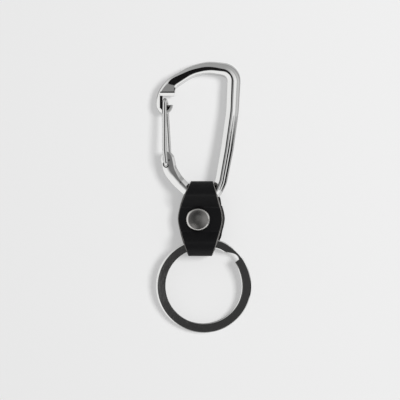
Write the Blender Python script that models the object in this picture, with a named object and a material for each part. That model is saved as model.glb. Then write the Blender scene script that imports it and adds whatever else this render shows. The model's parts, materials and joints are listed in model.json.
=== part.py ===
"""Carabiner keychain: a cast frame with a sprung wire gate, a folded leather strap and a split ring.

The keychain lies face up. X runs across it, Y along it towards the carabiner's top and Z up.
The origin is the middle of the rivet's underside, on the surface that the keychain lies on.
Sizes are in metres and angles in degrees.
"""
import math

import bmesh
import bpy
from mathutils import Matrix, Vector

# Frame: the bar
FRAME_RISE = 0.0426          # seat bar to the highest point of the frame's middle line
FRAME_HALF_SPAN = 0.01125    # half of the distance between the middle lines of nose and spine
FRAME_SHIFT = 0.00082        # middle of the frame, right of the rivet
FRAME_DEPTH = 0.0048         # thickness of the bar, front to back
BAR_WIDTH = 0.0043           # width of the bar in the frame's plane
CHAMFER = 0.00145            # width of the bevel that runs round the inside of the eye
CREST = 0.0009               # width of the flat between that bevel and the rounded outside
BEVEL_LEAN = 31.0            # slope of the inner bevel, in degrees
OUTSIDE_LEAN = 18.0          # the rounded outside starts this steeply, so it meets the flat in a ridge
OUTSIDE_STEEPEST = 43.0      # it ends this steeply, at the upright outer edge
UPRIGHT_SHARE = 0.25         # least upright edge, as a share of the bar's thickness
NOSE_ROUND = 0.0030          # length over which the nose rounds off
EAR_ROUND = 0.0026           # length over which the hinge ear rounds off
STATION_STEP = 0.0012        # spacing of the bar's cross sections

# Frame: shares of the bar's width and depth, and of the rounded ends' width at their tips
NOSE_WIDTH_SHARE = 1.34
SEAT_WIDTH_SHARE = 0.88
SEAT_DEPTH_SHARE = 0.88
TIP_SHARE = 0.3
tip_station_shares = (0.15, 0.5)

# Frame: corners of the middle line, from the nose round the top and spine to the ear. Each has
# its place in half spans and rises, its turning radius in bar widths, then its width, bevel,
# flat and depth as shares of theirs.
frame_corner_shares = [
    (-1.083, 0.636, 0.0, 1.28, 1.00, 1.0, 1.0),
    (-1.083, 0.786, 2.4, NOSE_WIDTH_SHARE, 1.00, 1.8, 1.0),
    (-0.858, 0.882, 1.3, 0.91, 0.50, 2.6, 1.0),
    (-0.281, 0.978, 3.2, 0.82, 0.45, 1.6, 1.0),
    (0.228, 1.012, 3.2, 0.92, 0.60, 1.3, 1.0),
    (1.024, 0.982, 0.95, 1.05, 0.95, 0.6, 1.0),
    (0.964, 0.653, 9.0, 1.0, 1.00, 0.4, 1.0),
    (0.804, 0.354, 9.0, 1.0, 1.00, 0.4, 1.0),
    (0.622, 0.098, 1.7, 0.94, 1.00, 0.4, 1.0),
    (0.460, 0.0, 0.60, SEAT_WIDTH_SHARE, 1.00, 0.4, SEAT_DEPTH_SHARE),
    (-0.300, 0.0, 0.81, SEAT_WIDTH_SHARE, 1.00, 0.4, SEAT_DEPTH_SHARE),
    (-0.700, 0.105, 1.9, 1.00, 0.90, 0.9, 1.0),
    (-0.908, 0.183, 1.6, 1.08, 0.65, 1.8, 1.0),
    (-1.036, 0.335, 0.0, 1.08, 0.55, 2.4, 1.0),
]

# Frame: the nose, cut so that the gate's legs straddle a tongue
TONGUE_HALF = 0.0009         # half thickness of the tongue
NOSE_WALL = 0.0013           # outer wall left standing beside the legs
NOTCH_HEIGHT = 0.0030        # gap in the nose that takes the gate's crossbar
NOTCH_RISE_SHARE = 0.711     # lower side of the notch, as a share of the frame's rise
NOTCH_WALL = 0.0022          # nose's outside to the bottom of the notch
STEP_SLOPE = 0.0009          # run of the sloping wall above the notch
FACET_RUN = 0.0042           # notch to the top of the nose's sloping facet
FACET_DROP = 0.0008          # height that this facet falls to the ledge above the notch
FACET_LEDGE = 0.0004         # width of the level ledge below it
LEDGE_STEP = 0.0002          # the ledge lies this much lower than the facet's lower edge
FACET_TURN = -17.0           # turn of the facet's upper edge
FACET_REACH = 0.0030         # the facet's cutter reaches this far past the pocket's
POCKET_REACH = 0.0060        # the pockets' cutter reaches this far below the notch
POCKET_DEPTH = 0.0012        # the pockets narrow this far below the notch, inside the nose's tip
POCKET_TAPER = 0.0008        # length over which they narrow to the groove for the leg
GROOVE_GAP = 0.00014         # groove's side to the front leg

# Frame: the ear that holds the gate
EAR_HALF = 0.0009            # half thickness of the ear at the gate's pivot
EAR_SLOPE_RUN = 0.0093       # pivot to the point where the ear's facet meets the full depth
EAR_REACH = 0.0030           # pivot to the ear's end, along the bar
SOCKET_PAST = 0.00045        # a socket's floor lies this far past the ear's middle
PILOT_DIAMETER = 0.0007      # hole from a socket's floor to the other side

# Gate: one bent wire
WIRE_DIAMETER = 0.0014
WIRE_BEND = 0.0012           # bending radius of the wire's middle line
KNEE_BEND = 0.0036           # bending radius where a leg leans towards its socket
WIRE_GAP = 0.00025           # gap between a leg and the flat that it passes
SOCKET_GAP = 0.00018         # gap round a wire end in its socket
WIRE_END_GAP = 0.00015       # a wire's end stops this far short of its socket's floor
PIVOT_ACROSS_SHARE = -0.9893  # gate's pivot, in half spans from the frame's middle
PIVOT_RISE_SHARE = 0.2465    # gate's pivot above the seat bar, as a share of the frame's rise
PIVOT_OFFSET_X = 0.00046     # the two wire ends stand off the pivot by this much across
PIVOT_OFFSET_Y = 0.00088     # and this much along, on opposite sides, which springs the gate
LEG_GAP = 0.00092            # nose wall to the front leg
LEG_SPLAY = 0.00046          # the back leg's upper end stands this much nearer to the eye
LEG_KNEE = 0.0044            # pivot to the knee in each leg
GATE_TRAVEL = 30.0
WIRE_STEP = 0.0012           # spacing of the wire's cross sections

# Strap: one strip of leather, folded round the seat bar and round the ring
STRAP_THICKNESS = 0.0011
STRAP_WIDTH = 0.0152         # widest, at the rivet
STRAP_TOP_WIDTH = 0.0071     # width at the top fold
STRAP_BOTTOM_WIDTH = 0.0076  # width at the bottom fold
STRAP_TOP = 0.01295          # rivet to the outside of the top fold
STRAP_BOTTOM = 0.01234       # rivet to the outside of the bottom fold
STRAP_SHIFT = 0.00073        # strap's middle, right of the rivet
TOP_FOLD_SHIFT = 0.0007      # further shift of the top fold
BACK_SHIFT = 0.0014          # further shift of the back layer
STRAP_TAIL = 0.0046          # tails run this far past the rivet
STRAP_LAND = 0.0043          # layers lie flat this far from the rivet
LAYER_GAP = 0.0001           # gap between two layers of leather
FOLD_BEND = 0.0024           # bending radius of the leather's middle at the folds
LAYER_BEND = 0.0012          # bending radius where a layer leaves the rivet
TOP_FOOT_RUN = 0.0030        # run of the back layer's slope towards the top fold
BOTTOM_FOOT_RUN = 0.0020     # run of its slope towards the bottom fold
SEAT_SLACK = 0.0013          # seat bar to the inside of the top fold
SEAT_SIDE_SLACK = 0.0013     # seat bar to the layers in front and behind
SEAT_HINGE_UP = 0.0008       # the strap turns on a line this far above the bar's middle
RING_SLACK = 0.0017          # ring to the inside of the bottom fold
RING_SIDE_SLACK = 0.0021     # ring to the layers in front and behind
RING_HINGE_DOWN = 0.00045    # the ring turns on a line this far inside its band's middle
TURNING_GAP = 0.0002         # least gap to what turns inside a fold
STRAP_STEP = 0.0012          # spacing of the strap's cross sections
STRAP_CURVE = 1.5            # power of the curve that the strap's edges follow

# Rivet: two caps, a socket and a stud
CAP_DIAMETER = 0.0082
CAP_HEIGHT = 0.0011
CAP_DOME_SHARE = 0.80        # of a cap's radius is a shallow dome
CAP_DOME_DROP = 0.00024      # fall of the dome
CAP_REST_DIAMETER = 0.0020   # flat middle of a cap, on which the keychain lies
CAP_FLAT_DIAMETER = 0.0036   # flat middle of a cap's inside
CAP_WALL = 0.00035
CAP_SEAT_GAP = 0.00015       # gap between a cap's rim and the leather
CAP_CURVE = 0.8              # power of the curve inside a cap
FLANGE_DIAMETER = 0.0066
FLANGE_THICKNESS = 0.0003
FLANGE_GAP = 0.0002          # gap between a flange and its cap
SOCKET_DIAMETER = 0.0030
SOCKET_BORE = 0.0022
STUD_DIAMETER = 0.0016
RIVET_GAP = 0.0003           # gap round the socket and at its end

# Ring: two flat turns of one strip
RING_DIAMETER = 0.0320
RING_BAND = 0.0029           # width of the strip
RING_STRIP = 0.0012          # thickness of the strip
RING_NECK = 0.0009           # the strip narrows to this width
RING_NECK_ANGLE = 43.0       # where it is narrowest, round from X
RING_NECK_REACH = 19.0       # it narrows over this angle on each side
RING_TURN_GAP = 0.0001       # gap between the turns
RING_EDGE = 0.00025          # bevel on the strip's edges
RING_SHIFT = 0.00203         # ring's middle, right of the rivet
RING_END_ANGLE = 35.0        # blunt end of the upper turn, round from X
RING_CROSS_ANGLE = 85.0      # here the strip leaves the upper turn
RING_TAIL_ANGLE = 88.0       # blunt end of the lower turn
RING_STEP_ANGLE = 7.0

# Finish of the meshes
OVERRUN = 0.0010             # cutters run this far past what they cut
ARC_STEP_ANGLE = 12.0
SHARP_ANGLE = 35.0
WIRE_SIDES = 10
CAP_SIDES = 40
SOCKET_SIDES = 24
OUTSIDE_STEPS = 5
SLOT_STEPS = 8
CAP_DOME_STEPS = 3
CAP_STEPS = 6

# What fits what
ring_stack = 2.0 * RING_STRIP + RING_TURN_GAP
seat_width = BAR_WIDTH * SEAT_WIDTH_SHARE
seat_depth = FRAME_DEPTH * SEAT_DEPTH_SHARE
top_reach = seat_width / 2.0 - SEAT_HINGE_UP + SEAT_SLACK
top_half_height = seat_depth / 2.0 + SEAT_SIDE_SLACK
seat_hinge_y = STRAP_TOP - STRAP_THICKNESS - top_reach
seat_hinge = Vector((0.0, seat_hinge_y, STRAP_THICKNESS + top_half_height))
bottom_reach = RING_BAND / 2.0 - RING_HINGE_DOWN + RING_SLACK
bottom_half_height = ring_stack / 2.0 + RING_SIDE_SLACK
ring_hinge_y = bottom_reach + STRAP_THICKNESS - STRAP_BOTTOM
ring_hinge = Vector((0.0, ring_hinge_y, STRAP_THICKNESS + bottom_half_height))
frame_tilt = math.asin((seat_hinge.z - FRAME_DEPTH / 2.0) / (FRAME_RISE - SEAT_HINGE_UP + CREST))
ring_middle_radius = (RING_DIAMETER - RING_BAND) / 2.0
ring_drop = ring_middle_radius - RING_HINGE_DOWN
ring_tilt = math.asin((ring_hinge.z - ring_stack / 2.0) / (ring_drop + RING_DIAMETER / 2.0))
gate_leg_height = EAR_HALF + WIRE_GAP + WIRE_DIAMETER / 2.0
nose_half_width = BAR_WIDTH * NOSE_WIDTH_SHARE / 2.0
nose_outside = FRAME_SHIFT + frame_corner_shares[1][0] * FRAME_HALF_SPAN - nose_half_width
notch_low = FRAME_RISE * NOTCH_RISE_SHARE - SEAT_HINGE_UP
notch_high = notch_low + NOTCH_HEIGHT
pivot_x = FRAME_SHIFT + PIVOT_ACROSS_SHARE * FRAME_HALF_SPAN
gate_pivot = Vector((pivot_x, FRAME_RISE * PIVOT_RISE_SHARE - SEAT_HINGE_UP, 0.0))
gate_length = (notch_low + notch_high) / 2.0 - gate_pivot.y
front_leg_x = nose_outside + NOSE_WALL + LEG_GAP + WIRE_DIAMETER / 2.0 - gate_pivot.x
layer_bottom = CAP_HEIGHT + CAP_SEAT_GAP
stack_top = layer_bottom + 3.0 * STRAP_THICKNESS + 2.0 * LAYER_GAP
rivet_height = stack_top + layer_bottom


def rounded_path(corners, radii, step):
    """Points along straight runs joined by arcs, spaced by no more than the step."""
    points = [corners[0].copy()]
    for index in range(1, len(corners) - 1):
        corner = corners[index]
        back = (corners[index - 1] - corner).normalized()
        ahead = (corners[index + 1] - corner).normalized()
        half_turn = (math.pi - back.angle(ahead)) / 2.0
        reach = radii[index] * math.tan(half_turn)
        centre = corner + (back + ahead).normalized() * (radii[index] / math.cos(half_turn))
        start = corner + back * reach - centre
        finish = corner + ahead * reach - centre
        pieces = max(2, math.ceil(math.degrees(2.0 * half_turn) / ARC_STEP_ANGLE))
        for piece in range(pieces + 1):
            blend = piece / pieces
            weight_a = math.sin((1.0 - blend) * 2.0 * half_turn)
            weight_b = math.sin(blend * 2.0 * half_turn)
            whole = math.sin(2.0 * half_turn)
            points.append(centre + (start * weight_a + finish * weight_b) / whole)
    points.append(corners[-1].copy())
    return fill_runs(points, step)


def fill_runs(points, step):
    """Divide the long runs between points evenly."""
    filled = [points[0]]
    for start, finish in zip(points, points[1:]):
        pieces = max(1, math.ceil((finish - start).length / step - 0.5))
        for piece in range(1, pieces + 1):
            filled.append(start.lerp(finish, piece / pieces))
    return filled


def path_tangents(points):
    """Direction of travel at each point of an open path."""
    tangents = []
    for index in range(len(points)):
        before = points[max(index - 1, 0)]
        after = points[min(index + 1, len(points) - 1)]
        tangents.append((after - before).normalized())
    return tangents


def loft(name, sections, colour_of):
    """Join equal sections in order into one closed body with flat ends."""
    shape = bmesh.new()
    rings = [[shape.verts.new(point) for point in section] for section in sections]
    count = len(sections[0])
    for ring, following in zip(rings, rings[1:]):
        for side in range(count):
            after = (side + 1) % count
            shape.faces.new((ring[side], ring[after], following[after], following[side]))
    shape.faces.new(reversed(rings[0]))
    shape.faces.new(rings[-1])
    bmesh.ops.recalc_face_normals(shape, faces=shape.faces)
    return new_object(name, shape, colour_of)


def lathe(name, outline, sides, colour_of):
    """Turn an outline of radius and height round Z; a radius of zero closes on the axis."""
    shape = bmesh.new()
    rings = []
    for radius, height in outline:
        if radius == 0.0:
            rings.append([shape.verts.new((0.0, 0.0, height))])
            continue
        ring = []
        for side in range(sides):
            angle = 2.0 * math.pi * side / sides
            ring.append(shape.verts.new((radius * math.cos(angle), radius * math.sin(angle), height)))
        rings.append(ring)
    for ring, following in zip(rings, rings[1:] + rings[:1]):
        join_rings(shape, ring, following, sides)
    bmesh.ops.recalc_face_normals(shape, faces=shape.faces)
    return new_object(name, shape, colour_of)


def join_rings(shape, ring, following, sides):
    """Bridge two rings of a turned shape; two points on the axis need nothing between them."""
    if len(ring) == 1 and len(following) == 1:
        return
    for side in range(sides):
        after = (side + 1) % sides
        corners = [ring[side % len(ring)], ring[after % len(ring)]]
        corners += [following[after % len(following)], following[side % len(following)]]
        face = list(dict.fromkeys(corners))
        shape.faces.new(face)


def new_object(name, shape, colour_of):
    """Make a mesh object from a bmesh and shade it smooth between its sharp edges."""
    mesh = bpy.data.meshes.new(name)
    shape.to_mesh(mesh)
    shape.free()
    mesh.shade_smooth()
    mesh.set_sharp_from_angle(angle=math.radians(SHARP_ANGLE))
    if colour_of:
        mesh.materials.append(colour_of)
    made = bpy.data.objects.new(name, mesh)
    bpy.context.scene.collection.objects.link(made)
    return made


def surface(name, colour, roughness, metallic):
    """A plain material of one colour."""
    made = bpy.data.materials.new(name)
    made.use_nodes = True
    shader = made.node_tree.nodes["Principled BSDF"]
    shader.inputs["Base Color"].default_value = (*colour, 1.0)
    shader.inputs["Roughness"].default_value = roughness
    shader.inputs["Metallic"].default_value = metallic
    return made


def empty_at(name, place, tilt, parent=None):
    """An empty on a joint's axis, which carries the pieces that turn there."""
    made = bpy.data.objects.new(name, None)
    bpy.context.scene.collection.objects.link(made)
    made.location = place
    made.rotation_euler = (tilt, 0.0, 0.0)
    made.parent = parent
    return made


def prism(name, outline, to_space, low, high):
    """A cutter: an outline pushed from low to high, placed by a matrix."""
    sections = []
    for height in (low, high):
        sections.append([to_space @ Vector((across, along, height)) for across, along in outline])
    return cutter_through(name, sections)


def cutter_through(name, sections):
    """A cutter through equal sections, hidden from renders."""
    cutter = loft(name, sections, None)
    cutter.hide_render = True
    cutter.display_type = "WIRE"
    return cutter


def cut(body, cutter):
    """Take the cutter's shape away from the body."""
    cutter.parent = body.parent
    step = body.modifiers.new(cutter.name, "BOOLEAN")
    step.operation = "DIFFERENCE"
    step.solver = "EXACT"
    step.object = cutter


def bar_section(width, chamfer, crest, half_depth):
    """Half of the bar's outline, inside to outside over the front: across and height pairs."""
    half_width = width / 2.0
    most_drop = half_depth * (1.0 - UPRIGHT_SHARE)
    bevel_drop = min(chamfer * math.tan(math.radians(BEVEL_LEAN)), most_drop)
    outline = [
        (-half_width, half_depth - bevel_drop),
        (-half_width + chamfer, half_depth),
    ]
    start = -half_width + chamfer + crest
    first = math.tan(math.radians(OUTSIDE_LEAN))
    bend = (math.tan(math.radians(OUTSIDE_STEEPEST)) - first) / 2.0
    run = half_width - start
    squash = min(most_drop / (run * (first + bend)), 1.0)
    for step in range(OUTSIDE_STEPS + 1):
        reach = step / OUTSIDE_STEPS
        drop = run * reach * (first + bend * reach) * squash
        outline.append((start + run * reach, half_depth - drop))
    outline.append((half_width, 0.0))
    return outline


def whole_section(half_outline):
    """Mirror the front half of a section to the back; its last point lies on the mirror plane."""
    back = [(across, -height) for across, height in reversed(half_outline[:-1])]
    return half_outline + back


def end_round(distance, length):
    """Share of the full width at a distance from a rounded end."""
    if distance >= length:
        return 1.0
    reach = 1.0 - distance / length
    return max(math.sqrt(1.0 - reach * reach), TIP_SHARE)


def frame_middle_line():
    """Corners and turning radii of the frame's middle line, measured from the seat hinge."""
    corners = []
    radii = []
    for across, up, turn, *_ in frame_corner_shares:
        x = FRAME_SHIFT + across * FRAME_HALF_SPAN
        y = up * FRAME_RISE - SEAT_HINGE_UP
        corners.append(Vector((x, y, 0.0)))
        radii.append(turn * BAR_WIDTH)
    return corners, radii


def interpolated_shares(point, corners):
    """Section shares at a point, on a smooth curve through the shares of the corners round it."""
    best = None
    for index, (start, finish) in enumerate(zip(corners, corners[1:])):
        run = finish - start
        along = min(max((point - start).dot(run) / run.length_squared, 0.0), 1.0)
        distance = (start + run * along - point).length
        if best is None or distance < best[0]:
            best = (distance, index, along)
    _, index, along = best
    last = len(corners) - 1
    nearby = [frame_corner_shares[min(max(index + step, 0), last)][3:] for step in (-1, 0, 1, 2)]
    shares = []
    for before, first, second, after in zip(*nearby):
        slope = second - before
        bend = 2.0 * before - 5.0 * first + 4.0 * second - after
        twist = 3.0 * first - before - 3.0 * second + after
        shares.append(first + 0.5 * along * (slope + along * (bend + along * twist)))
    return shares


def frame_body(chrome):
    """The frame's bar, swept along its middle line from nose to ear."""
    corners, radii = frame_middle_line()
    points = rounded_path(corners, radii, STATION_STEP)
    points = crowd_ends(points)
    tangents = path_tangents(points)
    travelled = [0.0]
    for start, finish in zip(points, points[1:]):
        travelled.append(travelled[-1] + (finish - start).length)
    ear_slope = (FRAME_DEPTH / 2.0 - EAR_HALF) / EAR_SLOPE_RUN
    sections = []
    for point, tangent, distance in zip(points, tangents, travelled):
        to_end = travelled[-1] - distance
        narrow = min(end_round(distance, NOSE_ROUND), end_round(to_end, EAR_ROUND))
        width, chamfer, crest, depth = interpolated_shares(point, corners)
        facet_height = EAR_HALF + ear_slope * (to_end - EAR_REACH)
        half_depth = min(FRAME_DEPTH * depth / 2.0, facet_height)
        half = bar_section(
            BAR_WIDTH * width * narrow,
            CHAMFER * chamfer * narrow,
            CREST * crest * narrow,
            half_depth,
        )
        outward = Vector((-tangent.y, tangent.x, 0.0))
        up = Vector((0.0, 0.0, 1.0))
        sections.append([point + outward * across + up * height for across, height in whole_section(half)])
    return loft("carabiner_frame", without_crossings(sections, tangents), chrome)


def without_crossings(sections, tangents):
    """Leave out each section that would cross the one before it, inside a bend tighter than the bar."""
    kept = sections[:1]
    heading = tangents[0]
    for section, tangent in zip(sections[1:], tangents[1:]):
        if all((after - before).dot(heading) > 0.0 for before, after in zip(kept[-1], section)):
            kept.append(section)
            heading = tangent
    return kept


def crowd_ends(points):
    """Place extra sections near both ends, where the bar rounds off."""
    nose = [points[0].lerp(points[1], share) for share in tip_station_shares]
    ear = [points[-1].lerp(points[-2], share) for share in reversed(tip_station_shares)]
    return points[:1] + nose + points[1:-1] + ear + points[-1:]


def with_mirror_image(cutter):
    """Add a cutter's mirror image for the back of the frame."""
    shape = bmesh.new()
    shape.from_mesh(cutter.data)
    kept = shape.faces[:]
    copied = bmesh.ops.duplicate(shape, geom=shape.verts[:] + shape.edges[:] + kept)
    copied_points = [item for item in copied["geom"] if isinstance(item, bmesh.types.BMVert)]
    for point in copied_points:
        point.co.z = -point.co.z
    copied_faces = [item for item in copied["geom"] if isinstance(item, bmesh.types.BMFace)]
    bmesh.ops.reverse_faces(shape, faces=copied_faces)
    shape.to_mesh(cutter.data)
    shape.free()
    return cutter


def cut_nose(frame):
    """Pockets for the gate's legs, the notch for its crossbar and the sloping facet above."""
    corners, _ = frame_middle_line()
    top = FRAME_DEPTH / 2.0
    facet_high = notch_high + FACET_RUN
    step_high = notch_high + STEP_SLOPE
    # Pocket: its upper wall slopes out from the tongue, and below it is a groove for the leg
    ledge_up = top - FACET_DROP - LEDGE_STEP
    pocket_left = nose_outside + NOSE_WALL
    pocket_right = nose_outside + 2.0 * nose_half_width + OVERRUN
    groove_left = gate_pivot.x + front_leg_x - WIRE_DIAMETER / 2.0 - GROOVE_GAP
    taper_high = notch_low - POCKET_DEPTH
    pocket_low = notch_low - POCKET_REACH
    floors = []
    for height, upper in ((TONGUE_HALF, notch_high), (ledge_up, step_high), (top + OVERRUN, step_high)):
        floors.append([
            Vector((pocket_left, upper, height)),
            Vector((pocket_left, taper_high, height)),
            Vector((groove_left, taper_high - POCKET_TAPER, height)),
            Vector((groove_left, pocket_low, height)),
            Vector((pocket_right, pocket_low, height)),
            Vector((pocket_right, upper, height)),
        ])
    cut(frame, with_mirror_image(cutter_through("nose_pocket_cut", floors)))
    # Facet: a wedge that falls from the crest towards the pocket
    fall = FACET_DROP / (facet_high - step_high)
    wedge = [
        (facet_high, top),
        (facet_high, top + OVERRUN),
        (notch_high, top + OVERRUN),
        (notch_high, top - fall * (facet_high - notch_high)),
    ]
    sideways = Matrix(((0, 0, 1, 0), (1, 0, 0, 0), (0, 1, 0, 0), (0, 0, 0, 1)))
    middle = Matrix.Translation((corners[1].x, step_high, 0.0))
    turned = middle @ Matrix.Rotation(math.radians(FACET_TURN), 4, "Z") @ middle.inverted() @ sideways
    facet_right = pocket_right + FACET_REACH
    cut(frame, with_mirror_image(prism("nose_facet_cut", wedge, turned, nose_outside, facet_right)))
    # Ledge: narrow and level, between the facet and the pocket's upper wall
    ledge = [
        (step_high + FACET_LEDGE, ledge_up),
        (step_high + FACET_LEDGE, top + OVERRUN),
        (notch_high, top + OVERRUN),
        (notch_high, ledge_up),
    ]
    cut(frame, with_mirror_image(prism("nose_ledge_cut", ledge, sideways, nose_outside, facet_right)))
    # Notch: through the nose, open towards the eye
    notch = [
        (nose_outside + NOTCH_WALL, notch_low),
        (pocket_right, notch_low),
        (pocket_right, notch_high),
        (nose_outside + NOTCH_WALL, notch_high),
    ]
    cut(frame, prism("nose_notch_cut", notch, Matrix(), -top - OVERRUN, top + OVERRUN))


def cut_ear(frame):
    """The two sockets for the gate's wire ends, each with a small hole through its floor."""
    travel = -math.radians(GATE_TRAVEL)
    reach = FRAME_DEPTH / 2.0 + OVERRUN
    for name, sign in (("front", -1.0), ("back", 1.0)):
        offset = Vector((sign * PIVOT_OFFSET_X, sign * PIVOT_OFFSET_Y, 0.0))
        moved = Matrix.Rotation(travel, 3, "Z") @ offset
        outline = slot_outline(gate_pivot + offset, gate_pivot + moved, WIRE_DIAMETER / 2.0 + SOCKET_GAP)
        low, high = sorted((sign * SOCKET_PAST, -sign * reach))
        cut(frame, prism(name + "_socket_cut", outline, Matrix(), low, high))
        hole = []
        for side in range(WIRE_SIDES):
            angle = 2.0 * math.pi * side / WIRE_SIDES
            spoke = Vector((math.cos(angle), math.sin(angle), 0.0)) * (PILOT_DIAMETER / 2.0)
            hole.append((gate_pivot + offset + spoke)[:2])
        cut(frame, prism(name + "_pilot_cut", hole, Matrix(), -reach, reach))


def slot_outline(start, finish, radius):
    """Outline of a slot with round ends, counter-clockwise."""
    heading = math.atan2(finish.y - start.y, finish.x - start.x)
    outline = []
    for centre, first in ((finish, heading - math.pi / 2.0), (start, heading + math.pi / 2.0)):
        for step in range(SLOT_STEPS + 1):
            angle = first + math.pi * step / SLOT_STEPS
            outline.append((centre.x + radius * math.cos(angle), centre.y + radius * math.sin(angle)))
    return outline


def gate_body(chrome, holder):
    """The gate's wire: from one socket up a leg, across the nose and down the other leg."""
    height = gate_leg_height
    end = SOCKET_PAST - WIRE_END_GAP
    back_leg_x = front_leg_x + LEG_SPLAY
    front = Vector((-PIVOT_OFFSET_X, -PIVOT_OFFSET_Y, 0.0))
    back = Vector((PIVOT_OFFSET_X, PIVOT_OFFSET_Y, 0.0))
    corners = [
        Vector((front.x, front.y, -end)),
        Vector((front.x, front.y, height)),
        Vector((front_leg_x, LEG_KNEE, height)),
        Vector((front_leg_x, gate_length, height)),
        Vector((back_leg_x, gate_length, -height)),
        Vector((back.x, LEG_KNEE, -height)),
        Vector((back.x, back.y, -height)),
        Vector((back.x, back.y, end)),
    ]
    radii = [0.0, WIRE_BEND, KNEE_BEND, WIRE_BEND, WIRE_BEND, KNEE_BEND, WIRE_BEND, 0.0]
    points = rounded_path(corners, radii, WIRE_STEP)
    tangents = path_tangents(points)
    outward = Vector((1.0, 0.0, 0.0))
    sections = []
    for point, tangent in zip(points, tangents):
        outward = (outward - tangent * outward.dot(tangent)).normalized()
        aside = tangent.cross(outward)
        section = []
        for side in range(WIRE_SIDES):
            angle = 2.0 * math.pi * side / WIRE_SIDES
            spoke = outward * math.cos(angle) + aside * math.sin(angle)
            section.append(point + spoke * (WIRE_DIAMETER / 2.0))
        sections.append(section)
    gate = loft("gate_wire", sections, chrome)
    gate.parent = holder


def tangent_shoulder(start, centre, radius, level):
    """Where a straight layer that leaves start and just clears a circle reaches a level."""
    across = centre[0] - start[0]
    up = centre[1] - start[1]
    distance = math.hypot(across, up)
    rise = math.atan2(up, abs(across)) + math.asin(radius / distance)
    run = (level - start[1]) / math.tan(rise)
    return start[0] + math.copysign(run, across)


def strap_half_width(along):
    """Half of the strap's width at a distance along from the rivet."""
    length = (STRAP_TOP + STRAP_BOTTOM) / 2.0
    waist = (STRAP_TOP - STRAP_BOTTOM) / 2.0
    share = min(abs(along - waist) / length, 1.0)
    end_width = STRAP_TOP_WIDTH if along > waist else STRAP_BOTTOM_WIDTH
    return (end_width + (STRAP_WIDTH - end_width) * (1.0 - share ** STRAP_CURVE)) / 2.0


def strap_body(leather):
    """One strip of leather, folded round the seat bar and the ring, its tails under the rivet."""
    half = STRAP_THICKNESS / 2.0
    pitch = STRAP_THICKNESS + LAYER_GAP
    low, middle, high = [layer_bottom + half + pitch * layer for layer in range(3)]
    top_front = seat_hinge.z + top_half_height + half
    bottom_front = ring_hinge.z + bottom_half_height + half
    seat_clear = seat_width / 2.0 + SEAT_HINGE_UP + TURNING_GAP + half
    ring_corner = math.hypot(RING_BAND / 2.0 + RING_HINGE_DOWN, ring_stack / 2.0)
    ring_clear = ring_corner + TURNING_GAP + half
    top_shoulder = tangent_shoulder((STRAP_LAND, high), seat_hinge.yz, seat_clear, top_front)
    bottom_shoulder = tangent_shoulder((-STRAP_LAND, high), ring_hinge.yz, ring_clear, bottom_front)
    top_end = STRAP_TOP - half
    bottom_end = half - STRAP_BOTTOM
    top_foot = STRAP_LAND + TOP_FOOT_RUN
    bottom_foot = -STRAP_LAND - BOTTOM_FOOT_RUN
    route = [
        (STRAP_TAIL, low, 0.0),
        (-STRAP_LAND, low, LAYER_BEND),
        (bottom_foot, half, LAYER_BEND),
        (bottom_end, half, FOLD_BEND),
        (bottom_end, bottom_front, FOLD_BEND),
        (bottom_shoulder, bottom_front, LAYER_BEND),
        (-STRAP_LAND, high, LAYER_BEND),
        (STRAP_LAND, high, LAYER_BEND),
        (top_shoulder, top_front, LAYER_BEND),
        (top_end, top_front, FOLD_BEND),
        (top_end, half, FOLD_BEND),
        (top_foot, half, LAYER_BEND),
        (STRAP_LAND, middle, LAYER_BEND),
        (-STRAP_TAIL, middle, 0.0),
    ]
    corners = [Vector((0.0, along, height)) for along, height, _ in route]
    points = rounded_path(corners, [bend for _, _, bend in route], STRAP_STEP)
    tangents = path_tangents(points)
    sections = []
    for point, tangent in zip(points, tangents):
        reach = strap_half_width(point.y)
        back_share = 1.0 - min(point.z / high, 1.0)
        fold_share = min(max((point.y - STRAP_LAND) / (STRAP_TOP - STRAP_LAND), 0.0), 1.0)
        inward_share = 1.0 - min(abs(point.y) / STRAP_BOTTOM, 1.0) ** 2
        middle_x = STRAP_SHIFT + BACK_SHIFT * back_share * inward_share + TOP_FOLD_SHIFT * fold_share ** 2
        normal = Vector((0.0, -tangent.z, tangent.y)) * half
        left = Vector((middle_x - reach, 0.0, 0.0))
        right = Vector((middle_x + reach, 0.0, 0.0))
        sections.append([
            point + left - normal,
            point + right - normal,
            point + right + normal,
            point + left + normal,
        ])
    strap = loft("leather_strap", sections, leather)
    radius = SOCKET_DIAMETER / 2.0 + RIVET_GAP
    hole = []
    for side in range(SOCKET_SIDES):
        angle = 2.0 * math.pi * side / SOCKET_SIDES
        hole.append((radius * math.cos(angle), radius * math.sin(angle)))
    cut(strap, prism("rivet_hole_cut", hole, Matrix(), -OVERRUN, stack_top + OVERRUN))


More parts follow.
